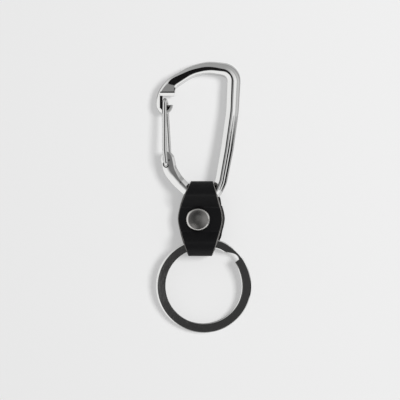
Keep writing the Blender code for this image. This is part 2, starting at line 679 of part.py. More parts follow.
def cap_outline():
    """Outside and inside of a cap that opens upwards: a shallow dome, a rounded rim, a hollow."""
    radius = CAP_DIAMETER / 2.0
    dome = radius * CAP_DOME_SHARE
    rest = CAP_REST_DIAMETER / 2.0
    outline = [(0.0, 0.0)]
    for step in range(CAP_DOME_STEPS + 1):
        share = step / CAP_DOME_STEPS
        outline.append((rest + (dome - rest) * share, CAP_DOME_DROP * share * share))
    first = math.atan(2.0 * CAP_DOME_DROP / (dome - rest))
    for step in range(CAP_STEPS):
        angle = first + (math.radians(90.0) - first) * (step + 1) / CAP_STEPS
        across = (math.sin(angle) - math.sin(first)) / (1.0 - math.sin(first))
        rise = (math.cos(first) - math.cos(angle)) / math.cos(first)
        height = CAP_DOME_DROP + (CAP_HEIGHT - CAP_DOME_DROP) * rise
        outline.append((dome + (radius - dome) * across, height))
    flat = CAP_FLAT_DIAMETER / 2.0
    for step in range(CAP_STEPS + 1):
        angle = math.radians(90.0) * (CAP_STEPS - step) / CAP_STEPS
        across = flat + (radius - CAP_WALL - flat) * math.sin(angle) ** CAP_CURVE
        outline.append((across, CAP_WALL + (CAP_HEIGHT - CAP_WALL) * (1.0 - math.cos(angle) ** CAP_CURVE)))
    outline.append((0.0, CAP_WALL))
    return outline


def rivet(steel):
    """The rivet: back cap, socket, stud and front cap, all turned about Z."""
    back = cap_outline()
    front = [(radius, rivet_height - height) for radius, height in back]
    lathe("rivet_back_cap", back, CAP_SIDES, steel)
    lathe("rivet_front_cap", front, CAP_SIDES, steel)
    flange_low = CAP_WALL + FLANGE_GAP
    flange_high = flange_low + FLANGE_THICKNESS
    flange = FLANGE_DIAMETER / 2.0
    stud_low = rivet_height - flange_high
    stud_high = rivet_height - flange_low
    socket = [
        (SOCKET_BORE / 2.0, flange_low),
        (flange, flange_low),
        (flange, flange_high),
        (SOCKET_DIAMETER / 2.0, flange_high),
        (SOCKET_DIAMETER / 2.0, stud_low - RIVET_GAP),
        (SOCKET_BORE / 2.0, stud_low - RIVET_GAP),
    ]
    stud = [
        (0.0, flange_high),
        (STUD_DIAMETER / 2.0, flange_high),
        (STUD_DIAMETER / 2.0, stud_low),
        (flange, stud_low),
        (flange, stud_high),
        (0.0, stud_high),
    ]
    lathe("rivet_socket", socket, SOCKET_SIDES, steel)
    lathe("rivet_stud", stud, SOCKET_SIDES, steel)


def smooth_share(value):
    """Ease from nought to one."""
    share = min(max(value, 0.0), 1.0)
    return share * share * (3.0 - 2.0 * share)


def ring_body(chrome, holder):
    """Two flat turns: the strip steps down to the lower turn at the crossover."""
    cross = RING_CROSS_ANGLE - RING_END_ANGLE
    first_turn = 360.0 - cross
    total = first_turn + cross + 360.0 - (RING_TAIL_ANGLE - RING_END_ANGLE)
    steps = round(total / RING_STEP_ANGLE)
    level = (RING_STRIP + RING_TURN_GAP) / 2.0
    sections = []
    for step in range(steps + 1):
        travelled = total * step / steps
        angle = math.radians(RING_END_ANGLE - travelled)
        fall = smooth_share((travelled - first_turn) / cross)
        height = level * (1.0 - 2.0 * fall)
        from_neck = abs(RING_END_ANGLE + 360.0 - travelled - RING_NECK_ANGLE) / RING_NECK_REACH
        squeeze = math.cos(math.pi / 2.0 * min(from_neck, 1.0)) ** 2
        band = RING_BAND + (RING_NECK - RING_BAND) * squeeze
        middle = RING_DIAMETER / 2.0 - band / 2.0
        outward = Vector((math.cos(angle), math.sin(angle), 0.0))
        centre = Vector((RING_SHIFT, -ring_drop, height)) + outward * middle
        half_band = band / 2.0
        half_strip = RING_STRIP / 2.0
        edge = RING_EDGE
        section = []
        for across, up in (
            (-half_band, -half_strip + edge),
            (-half_band, half_strip - edge),
            (-half_band + edge, half_strip),
            (half_band - edge, half_strip),
            (half_band, half_strip - edge),
            (half_band, -half_strip + edge),
            (half_band - edge, -half_strip),
            (-half_band + edge, -half_strip),
        ):
            section.append(centre + outward * across + Vector((0.0, 0.0, up)))
        sections.append(section)
    ring = loft("split_ring", sections, chrome)
    ring.parent = holder


def build():
    """Model the whole keychain."""
    chrome = surface("chrome", (0.80, 0.80, 0.79), 0.06, 1.0)
    leather = surface("black_leather", (0.012, 0.012, 0.013), 0.55, 0.0)
    steel = surface("gunmetal", (0.16, 0.16, 0.155), 0.32, 1.0)
    hinge = empty_at("seat_hinge", seat_hinge, -frame_tilt)
    frame = frame_body(chrome)
    frame.parent = hinge
    cut_ear(frame)
    cut_nose(frame)
    gate_body(chrome, empty_at("gate_hinge", gate_pivot, 0.0, hinge))
    strap_body(leather)
    rivet(steel)
    ring_body(chrome, empty_at("ring_hinge", ring_hinge, ring_tilt))


for old in list(bpy.data.objects):
    bpy.data.objects.remove(old, do_unlink=True)
build()
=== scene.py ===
"""Carabiner keychain: the finished looks of a frame, a wire gate, a leather strap, a rivet and a ring.

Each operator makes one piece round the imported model, in metres, with Z up and the keychain face up.
"""
import json
from math import asin, atan, atan2, ceil, copysign, cos, hypot, pi, radians, sin, sqrt, tan

import bmesh
import bpy
from bpy.props import FloatProperty, FloatVectorProperty, IntProperty, PointerProperty
from mathutils import Matrix, Vector


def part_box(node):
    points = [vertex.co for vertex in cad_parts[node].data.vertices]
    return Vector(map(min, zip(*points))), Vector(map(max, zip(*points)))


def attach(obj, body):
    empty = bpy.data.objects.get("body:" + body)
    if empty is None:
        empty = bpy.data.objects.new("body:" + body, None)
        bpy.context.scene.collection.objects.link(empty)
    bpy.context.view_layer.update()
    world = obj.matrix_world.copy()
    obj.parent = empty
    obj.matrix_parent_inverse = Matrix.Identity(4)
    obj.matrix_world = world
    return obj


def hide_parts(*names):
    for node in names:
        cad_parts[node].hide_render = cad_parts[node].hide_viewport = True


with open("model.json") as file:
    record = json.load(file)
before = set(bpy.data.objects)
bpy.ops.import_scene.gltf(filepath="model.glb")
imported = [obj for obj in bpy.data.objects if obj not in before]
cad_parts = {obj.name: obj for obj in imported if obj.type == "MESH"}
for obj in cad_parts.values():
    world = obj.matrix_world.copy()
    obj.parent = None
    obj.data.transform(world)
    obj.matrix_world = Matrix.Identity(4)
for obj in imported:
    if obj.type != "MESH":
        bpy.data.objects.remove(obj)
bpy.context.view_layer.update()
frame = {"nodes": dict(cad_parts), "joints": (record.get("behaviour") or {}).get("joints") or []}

bl_info = {
    "name": "Carabiner keychain",
    "version": (1, 0, 0),
    "blender": (4, 5, 0),
    "location": "View3D > Sidebar > Keychain",
    "description": "Makes a carabiner keychain with a leather strap and a split ring",
    "category": "Add Mesh",
}

QUARTER = radians(90)
CURVE_STEPS = 16
joints = {joint["name"]: joint for joint in frame["joints"]}

# Corners of the frame's middle line, from the nose round the top and spine to the ear. Each has its
# place in half spans and rises, its turning radius in bar widths, and then the bar's width, bevel,
# flat and depth there as shares of theirs.
frame_corners = [
    (-1.083, 0.636, 0.0, 1.28, 1.00, 1.0, 1.0),
    (-1.083, 0.786, 2.4, 1.34, 1.00, 1.8, 1.0),
    (-0.858, 0.882, 1.3, 0.91, 0.50, 2.6, 1.0),
    (-0.281, 0.978, 3.2, 0.82, 0.45, 1.6, 1.0),
    (0.228, 1.012, 3.2, 0.92, 0.60, 1.3, 1.0),
    (1.024, 0.982, 0.95, 1.05, 0.95, 0.6, 1.0),
    (0.964, 0.653, 9.0, 1.0, 1.00, 0.4, 1.0),
    (0.804, 0.354, 9.0, 1.0, 1.00, 0.4, 1.0),
    (0.622, 0.098, 1.7, 0.94, 1.00, 0.4, 1.0),
    (0.460, 0.0, 0.60, 0.88, 1.00, 0.4, 0.88),
    (-0.300, 0.0, 0.81, 0.88, 1.00, 0.4, 0.88),
    (-0.700, 0.105, 1.9, 1.00, 0.90, 0.9, 1.0),
    (-0.908, 0.183, 1.6, 1.08, 0.65, 1.8, 1.0),
    (-1.036, 0.335, 0.0, 1.08, 0.55, 2.4, 1.0),
]
NOSE_CORNER = 1


def length(name, words, value):
    """A size in metres."""
    return FloatProperty(name=name, description=words, default=value, unit="LENGTH", precision=5)


def share(name, words, value):
    """A share of something, from nought to one."""
    return FloatProperty(name=name, description=words, default=value, subtype="FACTOR")


def turn(name, words, degrees):
    """An angle, shown in degrees."""
    return FloatProperty(name=name, description=words, default=radians(degrees), unit="ROTATION")


def colour(name, words, value):
    """A linear colour."""
    return FloatVectorProperty(name=name, description=words, default=value, subtype="COLOR", min=0, max=1)


class FrameSizes(bpy.types.PropertyGroup):
    """Sizes of the cast frame."""

    rise: length("Rise", "Seat bar to the highest point of the middle line", 0.0426)
    half_span: length("Half span", "Half of the distance between nose and spine", 0.01125)
    shift: length("Shift", "Middle of the frame, right of the rivet", 0.00082)
    depth: length("Depth", "Thickness of the bar, front to back", 0.0048)
    bar_width: length("Bar width", "Width of the bar in the frame's plane", 0.0043)
    chamfer: length("Chamfer", "Width of the bevel inside the eye", 0.00145)
    crest: length("Crest", "Width of the flat beside that bevel", 0.0009)
    bevel_lean: turn("Bevel slope", "Slope of the inner bevel", 31)
    outside_lean: turn("Outside lean", "Slope at which the rounded outside leaves the flat", 18)
    outside_steepest: turn("Outside steepest", "Slope at which it meets the upright edge", 43)
    upright: share("Least upright edge", "As a share of the bar's thickness", 0.25)
    edge_round: length("Edge rounding", "Softening of the bevel's edges", 0.00012)
    nose_round: length("Nose rounding", "Length over which the nose rounds off", 0.0030)
    ear_round: length("Ear rounding", "Length over which the ear rounds off", 0.0026)
    hinge_up: length("Strap line", "The strap turns this far above the seat bar's middle", 0.0008)
    tongue_half: length("Tongue", "Half thickness of the nose's tongue", 0.0009)
    pocket_depth: length("Pocket depth", "The pockets narrow this far below the notch", 0.0012)
    pocket_taper: length("Pocket taper", "They narrow to the leg's groove over this length", 0.0008)
    groove_gap: length("Groove gap", "Groove's side to the front leg", 0.00014)
    lip_bevel: length("Lip bevel", "Bevel on the tongue's free edges", 0.00085)
    nose_wall: length("Nose wall", "Wall left standing beside the gate's legs", 0.0013)
    notch_height: length("Notch height", "Gap in the nose for the gate's crossbar", 0.0030)
    notch_rise: share("Notch rise", "Lower side of the notch, as a share of the rise", 0.711)
    notch_wall: length("Notch wall", "Nose's outside to the bottom of the notch", 0.0022)
    step_slope: length("Step", "Run of the sloping wall above the notch", 0.0009)
    facet_run: length("Facet run", "Notch to the top of the nose's facet", 0.0042)
    facet_drop: length("Facet drop", "Height that this facet falls", 0.0008)
    facet_ledge: length("Facet ledge", "Flat ledge below the facet", 0.0004)
    ledge_step: length("Ledge step", "Facet's lower edge to the ledge below it", 0.0002)
    facet_turn: turn("Facet turn", "Turn of the facet's upper edge", -17)
    ear_half: length("Ear", "Half thickness of the ear at the gate's pivot", 0.0009)
    ear_slope: length("Ear slope", "Pivot to the point where the ear's facet ends", 0.0093)
    ear_reach: length("Ear reach", "Pivot to the ear's end, along the bar", 0.0030)
    socket_past: length("Socket depth", "Ear's middle to a socket's floor beyond it", 0.00045)
    pilot: length("Pilot hole", "Hole from a socket's floor to the other side", 0.0007)
    station: length("Section step", "Spacing of the bar's cross sections", 0.0004)


class GateSizes(bpy.types.PropertyGroup):
    """Sizes of the wire gate."""

    wire: length("Wire", "Diameter of the wire", 0.0014)
    bend: length("Bend", "Bending radius of the wire's middle line", 0.0012)
    knee_bend: length("Knee bend", "Bending radius where a leg leans", 0.0036)
    offset_x: length("Offset across", "The wire ends stand off the pivot by this much", 0.00046)
    offset_y: length("Offset along", "The wire ends stand off the pivot by this much", 0.00088)
    nose_gap: length("Nose gap", "Nose wall to the front leg", 0.00092)
    splay: length("Splay", "The back leg's upper end stands this much nearer to the eye", 0.00046)
    knee: length("Knee", "Pivot to the knee in each leg", 0.0044)
    leg_gap: length("Leg gap", "Gap between a leg and the ear's flat", 0.00025)
    end_gap: length("End gap", "A wire's end stops this far short of its socket's floor", 0.00015)
    socket_gap: length("Socket gap", "Gap round a wire end in its socket", 0.00018)
    travel: turn("Travel", "How far the gate opens", 30)
    sides: IntProperty(name="Sides", description="Flats round the wire", default=24, min=8)


class StrapSizes(bpy.types.PropertyGroup):
    """Sizes of the leather strap."""

    thickness: length("Thickness", "Thickness of the leather", 0.0011)
    width: length("Width", "Widest, at the rivet", 0.0152)
    top_width: length("Top width", "Width at the top fold", 0.0071)
    bottom_width: length("Bottom width", "Width at the bottom fold", 0.0076)
    top: length("Top", "Rivet to the outside of the top fold", 0.01295)
    bottom: length("Bottom", "Rivet to the outside of the bottom fold", 0.01234)
    shift: length("Shift", "Strap's middle, right of the rivet", 0.00073)
    fold_shift: length("Fold shift", "Further shift of the top fold", 0.0007)
    back_shift: length("Back shift", "Further shift of the back layer", 0.0014)
    tail: length("Tail", "Tails run this far past the rivet", 0.0046)
    land: length("Land", "Layers lie flat this far from the rivet", 0.0043)
    layer_gap: length("Layer gap", "Gap between two layers", 0.0001)
    cap_gap: length("Cap gap", "Rim of the back cap to the leather", 0.00015)
    fold_gap: length("Fold gap", "Gap between a fold and what it goes round", 0.0002)
    fold_bend: length("Fold bend", "Bending radius of the leather at the folds", 0.0024)
    layer_bend: length("Layer bend", "Bending radius where a layer leaves the rivet", 0.0012)
    top_foot: length("Top foot", "Run of the back layer's slope to the top fold", 0.0030)
    bottom_foot: length("Bottom foot", "Run of the slope to the bottom fold", 0.0020)
    curve: FloatProperty(name="Curve", description="Power of the curve of the edges", default=1.5)
    corner: length("Corner", "Rounding of the cut edges", 0.00028)
    step: length("Section step", "Spacing of the strap's cross sections", 0.00035)
    across: IntProperty(name="Across", description="Faces across the strap", default=28, min=4)


class RivetSizes(bpy.types.PropertyGroup):
    """Sizes of the rivet's caps."""

    cap: length("Cap", "Diameter of a cap", 0.0082)
    height: length("Height", "Height of a cap", 0.0011)
    flat: length("Flat", "Diameter of the flat middle inside a cap", 0.0036)
    dome: share("Dome", "Share of a cap's radius that is a shallow dome", 0.73)
    dome_drop: length("Dome drop", "Fall of that dome", 0.00022)
    rest: length("Rest", "Diameter of a cap's flat middle", 0.0004)
    wall: length("Wall", "Thickness of a cap's sheet", 0.00035)
    sides: IntProperty(name="Sides", description="Flats round a cap", default=96, min=16)


class RingSizes(bpy.types.PropertyGroup):
    """Sizes of the split ring. Its angles run round from X."""

    diameter: length("Diameter", "Across the ring, outside", 0.0320)
    band: length("Band", "Width of the strip", 0.0029)
    strip: length("Strip", "Thickness of the strip", 0.0012)
    neck: length("Neck", "The strip narrows to this width", 0.0007)
    neck_angle: turn("Neck angle", "Where it is narrowest", 42)
    neck_reach: turn("Neck reach", "It narrows over this angle on each side", 19)
    bulge: length("Bulge", "The ring bulges this far round the crossover", 0.00025)
    bulge_reach: turn("Bulge reach", "It bulges over this angle on each side", 32)
    lift: length("Lift", "The strip stands out this far between the strap and the neck", 0.0006)
    lift_angle: turn("Lift angle", "Where it stands out most", 66)
    lift_reach: turn("Lift reach", "It stands out over this angle on each side", 22)
    turn_gap: length("Turn gap", "Gap between the turns", 0.0001)
    edge: length("Edge", "Bevel on the strip's edges", 0.00025)
    edge_slope: FloatProperty(name="Edge slope", description="Rise of that bevel for its run", default=0.68)
    slip: length("Slip", "The lower turn stands out this far from the upper one", 0.00035)
    slip_angle: turn("Slip angle", "It stands out to this side", 205)
    shift: length("Shift", "Ring's middle, right of the rivet", 0.00203)
    hinge_in: length("Strap line", "The ring turns this far inside its band's middle", 0.00045)
    end_angle: turn("End", "Blunt end of the upper turn", 38)
    cross_angle: turn("Crossover", "Here the strip leaves the upper turn", 98)
    fall_angle: turn("Fall angle", "It falls to the lower turn over this angle", 18)
    tail_angle: turn("Tail", "Blunt end of the lower turn", 101)
    stations: IntProperty(name="Stations", description="Cross sections along the strip", default=420, min=60)


class Finishes(bpy.types.PropertyGroup):
    """Colours and gloss of the materials."""

    chrome: colour("Chrome", "Colour of the plated metal", (0.58, 0.58, 0.575))
    chrome_rough: share("Chrome roughness", "Roughness of the plated metal", 0.05)
    rivet: colour("Rivet", "Colour of the rivet's dark plating", (0.50, 0.49, 0.475))
    rivet_rough: share("Rivet roughness", "Roughness of the rivet", 0.17)
    grain: colour("Leather", "Colour of the leather's face", (0.0045, 0.0045, 0.005))
    grain_worn: colour("Worn leather", "Colour of the leather where it bends", (0.009, 0.009, 0.0095))
    # Cut edge: a grey that is partly its own and partly a painted highlight; the edge behind is painted
    # shade.
    edge: colour("Cut edge", "Colour of the leather's cut edge", (0.15, 0.145, 0.14))
    edge_back_painted_shade: colour("Cut edge behind in painted shade", "Colour of that edge at the back", (0.010, 0.010, 0.010))
    flesh: colour("Flesh side", "Colour of the leather's inside", (0.014, 0.013, 0.013))
    # Painted shade: the ring's inner edge is darkened to stand in for the shadowed floor that it reflects.
    ring_inside_painted_shade: colour("Ring inside painted shade", "Colour of the ring's inner edge", (0.06, 0.06, 0.058))


class StudioSettings(bpy.types.PropertyGroup):
    """Floor, light and camera."""

    floor: colour("Floor", "Colour of the floor and of what lies behind it", (0.84, 0.84, 0.84))
    floor_glow: share("Floor glow", "Share of the floor's brightness that no shadow dims", 0.46)
    key_power: FloatProperty(
        name="Key", description="Power of the key lamp", default=13.4, min=0, unit="POWER"
    )
    key_size: length("Key size", "Side of the key lamp", 0.42)
    key_place: FloatVectorProperty(
        name="Key place", description="Where the key lamp stands", default=(0.69, 0.17, 1.045), unit="LENGTH"
    )
    room: share("Room", "Level of the even light from all sides", 0.40)
    card_west: turn("Card west", "Small grey card beside the camera, this far left of it", 10)
    card_south: turn("Card south", "And this far towards the ring", 17)
    card_reach: turn("Card reach", "Half of the angle that it covers", 6.5)
    card_level: share("Card level", "Brightness of the card", 0.50)
    lens: FloatProperty(name="Lens", description="Focal length in millimetres", default=100)
    view_width: length("View width", "What the picture's width covers", 0.1356)
    view_x: length("View middle across", "Middle of the picture, right of the rivet", 0.00066)
    view_y: length("View middle along", "Middle of the picture, above the rivet", 0.00658)
    view_level: length("View level", "Height above the floor at which that width counts", 0.004)


class Keychain(bpy.types.PropertyGroup):
    """All the sizes and colours of the keychain."""

    frame: PointerProperty(type=FrameSizes)
    gate: PointerProperty(type=GateSizes)
    strap: PointerProperty(type=StrapSizes)
    rivet: PointerProperty(type=RivetSizes)
    ring: PointerProperty(type=RingSizes)
    finish: PointerProperty(type=Finishes)
    studio: PointerProperty(type=StudioSettings)


# Paths and meshes

ARC_STEP = radians(5)


def rounded_path(corners, radii, step):
    """Points along straight runs joined by arcs, about a step apart."""
    points = [corners[0].copy()]
    for before, corner, after, radius in zip(corners, corners[1:], corners[2:], radii[1:]):
        back = (before - corner).normalized()
        ahead = (after - corner).normalized()
        bend = pi - back.angle(ahead)
        reach = radius * tan(bend / 2)
        centre = corner + (back + ahead).normalized() * (radius / cos(bend / 2))
        start = corner + back * reach - centre
        finish = corner + ahead * reach - centre
        pieces = max(2, ceil(bend / ARC_STEP))
        for piece in range(pieces + 1):
            blend = piece / pieces
            arm = start * sin((1 - blend) * bend) + finish * sin(blend * bend)
            points.append(centre + arm / sin(bend))
    points.append(corners[-1].copy())
    filled = points[:1]
    for start, finish in zip(points, points[1:]):
        pieces = max(1, ceil((finish - start).length / step - 0.5))
        filled += [start.lerp(finish, piece / pieces) for piece in range(1, pieces + 1)]
    return filled


def tangents_of(points):
    """Direction of travel at each point of an open path."""
    last = len(points) - 1
    return [(points[min(i + 1, last)] - points[max(i - 1, 0)]).normalized() for i in range(last + 1)]


def circle(radius, sides):
    """Corners of a circle."""
    angles = [2 * pi * side / sides for side in range(sides)]
    return [(radius * cos(angle), radius * sin(angle)) for angle in angles]


def skin(shape, rings, kinds=None):
    """Add faces between neighbouring rings of corners, where a pole is one corner repeated."""
    for ring, following in zip(rings, rings[1:]):
        for side, kind in enumerate(kinds or [0] * len(ring)):
            after = (side + 1) % len(ring)
            corners = list(dict.fromkeys((ring[side], ring[after], following[after], following[side])))
            if len(corners) > 2:
                shape.faces.new(corners).material_index = kind


def lofted(sections, kinds=None, end_kind=0):
    """A closed bmesh through equal sections, with flat ends."""
    shape = bmesh.new()
    rings = [[shape.verts.new(point) for point in section] for section in sections]
    skin(shape, rings, kinds)
    for end in (rings[0][::-1], rings[-1]):
        shape.faces.new(end).material_index = end_kind
    bmesh.ops.recalc_face_normals(shape, faces=shape.faces)
    return shape


def turned(outline, sides):
    """A closed bmesh: an outline of radius and height turned round Z."""
    shape = bmesh.new()
    rings = []
    for radius, height in outline:
        if radius == 0:
            rings.append([shape.verts.new((0, 0, height))] * sides)
        else:
            rings.append([shape.verts.new((x, y, height)) for x, y in circle(radius, sides)])
    skin(shape, rings + rings[:1])
    bmesh.ops.recalc_face_normals(shape, faces=shape.faces)
    return shape


def linked(name, data):
    """Link a new object that holds the data."""
    made = bpy.data.objects.new(name, data)
    bpy.context.scene.collection.objects.link(made)
    return made


def object_from(name, shape):
    """Link a new object that holds the bmesh."""
    mesh = bpy.data.meshes.new(name)
    shape.to_mesh(mesh)
    shape.free()
    return linked(name, mesh)


def prism(outline, to_space, low, high):
    """An outline pushed from low to high, placed by a matrix."""
    sections = [[to_space @ Vector((*point, height)) for point in outline] for height in (low, high)]
    return lofted(sections)


def with_mirror_image(shape):
    """Add the shape's mirror image below the plane of the frame."""
    parts = shape.verts[:] + shape.edges[:] + shape.faces[:]
    copied = bmesh.ops.duplicate(shape, geom=parts)["geom"]
    for point in (item for item in copied if isinstance(item, bmesh.types.BMVert)):
        point.co.z = -point.co.z
    bmesh.ops.reverse_faces(shape, faces=[item for item in copied if isinstance(item, bmesh.types.BMFace)])
    return shape


def cut_all(body, shapes):
    """Take the shapes away from the body for good."""
    cutters = [object_from("cutter", shape) for shape in shapes]
    for cutter in cutters:
        step = body.modifiers.new("cut", "BOOLEAN")
        step.operation = "DIFFERENCE"
        step.solver = "EXACT"
        step.object = cutter
    settle(body)
    for cutter in cutters:
        bpy.data.objects.remove(cutter, do_unlink=True)


def settle(made):
    """Turn an object and its modifiers into a plain mesh."""
    bpy.context.view_layer.update()
    evaluated = made.evaluated_get(bpy.context.evaluated_depsgraph_get())
    mesh = bpy.data.meshes.new_from_object(evaluated)
    made.modifiers.clear()
    made.data = mesh
    mesh.name = made.name


def smooth(made, sharp):
    """Shade smooth between edges that bend by more than so many degrees."""
    made.data.shade_smooth()
    made.data.set_sharp_from_angle(angle=radians(sharp))


def finish_piece(made, body, cad_node):
    """Hand a finished piece over: its body and the node it stands for."""
    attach(made, body)
    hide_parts(cad_node)


# Nodes


class Signal:
    """What comes out of a node. Plain sums on it add nodes to its tree."""

    def __init__(self, socket):
        self.socket = socket
        self.tree = socket.id_data

    def math(self, operation, *others):
        """One arithmetic node."""
        return add(self.tree, "ShaderNodeMath", dict(enumerate((self, *others))), operation=operation)

    def __add__(self, other):
        return self.math("ADD", other)

    def __sub__(self, other):
        return self.math("SUBTRACT", other)

    def __mul__(self, other):
        return self.math("MULTIPLY", other)

    def __truediv__(self, other):
        return self.math("DIVIDE", other)


def add(tree, kind, links=None, output=0, **settings):
    """Add a node with its settings and inputs, and return one of its outputs."""
    made = tree.nodes.new(kind)
    for name, value in settings.items():
        setattr(made, name, value)
    feed(made, links or {})
    return Signal(made.outputs[output])


def feed(made, links):
    """Feed a node's inputs from other nodes, or set their values."""
    for key, value in links.items():
        if isinstance(value, Signal):
            value.tree.links.new(value.socket, made.inputs[key])
        else:
            made.inputs[key].default_value = value


def axes(place):
    """The three coordinates of a place."""
    first = add(place.tree, "ShaderNodeSeparateXYZ", {0: place})
    return [Signal(socket) for socket in first.socket.node.outputs]


def clamped(value):
    """A value held between nought and one."""
    return add(value.tree, "ShaderNodeClamp", {"Value": value})


def spread(value, low, high, to_low, to_high, kind="LINEAR"):
    """Map a value from one range to another, clamped."""
    places = {"Value": value, "From Min": low, "From Max": high, "To Min": to_low, "To Max": to_high}
    return add(value.tree, "ShaderNodeMapRange", places, interpolation_type=kind)


def eased(value, low, high, to_low, to_high):
    """Map a value from one range to another, clamped, with soft ends."""
    return spread(value, low, high, to_low, to_high, "SMOOTHSTEP")


def noise(place, scale, detail=3, roughness=0.5, distortion=0):
    """Grey noise."""
    inputs = {"Vector": place, "Scale": scale, "Detail": detail, "Roughness": roughness}
    return add(place.tree, "ShaderNodeTexNoise", {**inputs, "Distortion": distortion}, "Fac")


def stretched(place, scale):
    """A place scaled differently along each axis."""
    return add(place.tree, "ShaderNodeMapping", {"Vector": place, "Scale": scale})


def blend(factor, first, second):
    """Mix two colours."""
    first, second = (item if isinstance(item, Signal) else (*item, 1) for item in (first, second))
    return add(factor.tree, "ShaderNodeMix", {0: factor, 6: first, 7: second}, 2, data_type="RGBA")


def mottled(factor, tint, low, high=1):
    """Mix a darker and a lighter shade of one colour."""
    return blend(factor, [part * low for part in tint], [part * high for part in tint])


def new_material(name, attribute=None):
    """A material, its shader, and the place on the piece: its own coordinates or an attribute."""
    made = bpy.data.materials.new(name)
    made.use_nodes = True
    tree = made.node_tree
    if attribute:
        place = add(tree, "ShaderNodeAttribute", output="Vector", attribute_name=attribute)
    else:
        place = add(tree, "ShaderNodeTexCoord", output="Object")
    return made, tree.nodes["Principled BSDF"], place


def raise_surface(shader, height, distance, strength):
    """Bump the surface by a height."""
    bump = add(height.tree, "ShaderNodeBump", {"Height": height, "Distance": distance, "Strength": strength})
    feed(shader, {"Normal": bump})


# Materials. Noise scales are waves a metre, and bump distances are metres.


def chrome_finish(finish, name):
    """Bright plating: faint waves of the metal below, fine wipe marks and a few dull spots."""
    made, shader, place = new_material(name)
    wipes = noise(stretched(place, (5200, 500, 2600)), 1, 2)
    dull = spread(wipes, 0.45, 0.75, 0, 0.05)
    spots = spread(noise(place, 900, 2), 0.60, 0.72, 0, 0.03)
    tint = mottled(noise(place, 260), finish.chrome, 0.97)
    feed(shader, {"Base Color": tint, "Metallic": 1, "Roughness": dull + spots + finish.chrome_rough})
    raise_surface(shader, noise(place, 420, 1), 0.00002, 0.35)
    return made


def rivet_finish(finish):
    """Dark satin plating with fine grain."""
    made, shader, place = new_material("rivet plating")
    grain = noise(place, 9000, 2)
    rough = spread(grain, 0.3, 0.7, -0.04, 0.06) + finish.rivet_rough
    tint = mottled(noise(place, 700), finish.rivet, 0.85)
    feed(shader, {"Base Color": tint, "Metallic": 1, "Roughness": rough})
    raise_surface(shader, grain, 0.00001, 0.4)
    return made


def ring_inside_painted_shade_finish(finish):
    """The ring's inner edge: a darker grey plating, painted shade for the shadowed floor close by that it
    reflects.
    """
    made, shader, place = new_material("ring inside painted shade")
    tint = mottled(noise(place, 700), finish.ring_inside_painted_shade, 0.6)
    feed(shader, {"Base Color": tint, "Metallic": 1, "Roughness": 0.25})
    return made


def grain_finish(finish):
    """The leather's face: pebbled grain, pores, creases at the folds and paler worn bends."""
    made, shader, place = new_material("leather face", "strip_place")
    bend = axes(place)[2]
    pebbles = {"Vector": stretched(place, (1, 0.8, 0)), "Scale": 3600}
    cells = add(made.node_tree, "ShaderNodeTexVoronoi", pebbles, "Distance", feature="SMOOTH_F1")
    creases = noise(stretched(place, (260, 1900, 0)), 1, 3, 0.6, 0.4)
    patches = noise(place, 420)
    worn = spread(patches, 0.40, 0.70, 0.2, 1) * bend
    tint = blend(worn, finish.grain, finish.grain_worn)
    rough = spread(patches, 0.3, 0.7, 0.46, 0.60)
    feed(shader, {"Base Color": tint, "Roughness": rough, "Specular IOR Level": 0.15})
    height = cells * 0.9 + creases * bend * 2.2 + noise(place, 9000, 2) * 0.25
    raise_surface(shader, height, 0.00005, 0.6)
    return made


def edge_finish(finish):
    """The leather's cut edge: packed fibres, grey partly of its own and partly as a painted highlight on the
    upper layers, near black as painted shade lower down.
    """
    made, shader, place = new_material("leather cut edge")
    fibres = noise(stretched(place, (1500, 1500, 6000)), 1, 4, 0.6)
    # Painted light by height: painted shade on the lower layers' edges, a painted highlight on the front
    # layer's.
    front = eased(axes(place)[2], 0.0030, 0.0042, 0, 1)
    tint = blend(front, mottled(fibres, finish.edge_back_painted_shade, 0.5), mottled(fibres, finish.edge, 0.5, 1.5))
    feed(shader, {"Base Color": tint, "Roughness": 0.7, "Specular IOR Level": 0.1})
    raise_surface(shader, fibres, 0.00005, 0.5)
    return made


def flesh_finish(finish):
    """The leather's inside: short matted fibres."""
    made, shader, place = new_material("leather flesh side")
    fibres = noise(place, 5200, 4, 0.65, 1.2)
    tint = mottled(fibres, finish.flesh, 0.5, 1.6)
    feed(shader, {"Base Color": tint, "Roughness": 0.9, "Specular IOR Level": 0.2})
    raise_surface(shader, fibres, 0.00012, 0.7)
    return made


# Frame

# Extra sections near a rounded end, as shares of the first step, and the end's least width as a share.
end_stations = (0.03, 0.12, 0.3, 0.6)
END_LEAST = 0.12
# Most of the last facet that the outer rim's softening may take, as a share.
RIM_MOST = 0.8
# How far a cutter stands out of what it cuts, and runs on below the pockets and past the facet.
CUT_PAST = 0.001
POCKET_PAST = 0.006
FACET_PAST = 0.003
# Upward part of a level face's normal, and the angle of an edge that counts as sharp.
LEVEL = 0.999
SHARP = 0.5


def frame_space():
    """From the frame's own plane to the keychain's: the seat hinge and the frame's tilt."""
    place = Vector(joints["strap_swing"]["pos_m"])
    axis = joints["gate_pivot"]["axis"]
    return Matrix.Translation(place) @ Matrix.Rotation(-atan2(axis[1], axis[2]) - pi, 4, "X")


def middle_line(sizes):
    """Corners of the frame's middle line, measured from the seat hinge."""
    across = [sizes.shift + row[0] * sizes.half_span for row in frame_corners]
    up = [row[1] * sizes.rise - sizes.hinge_up for row in frame_corners]
    return [Vector((x, y, 0)) for x, y in zip(across, up)]


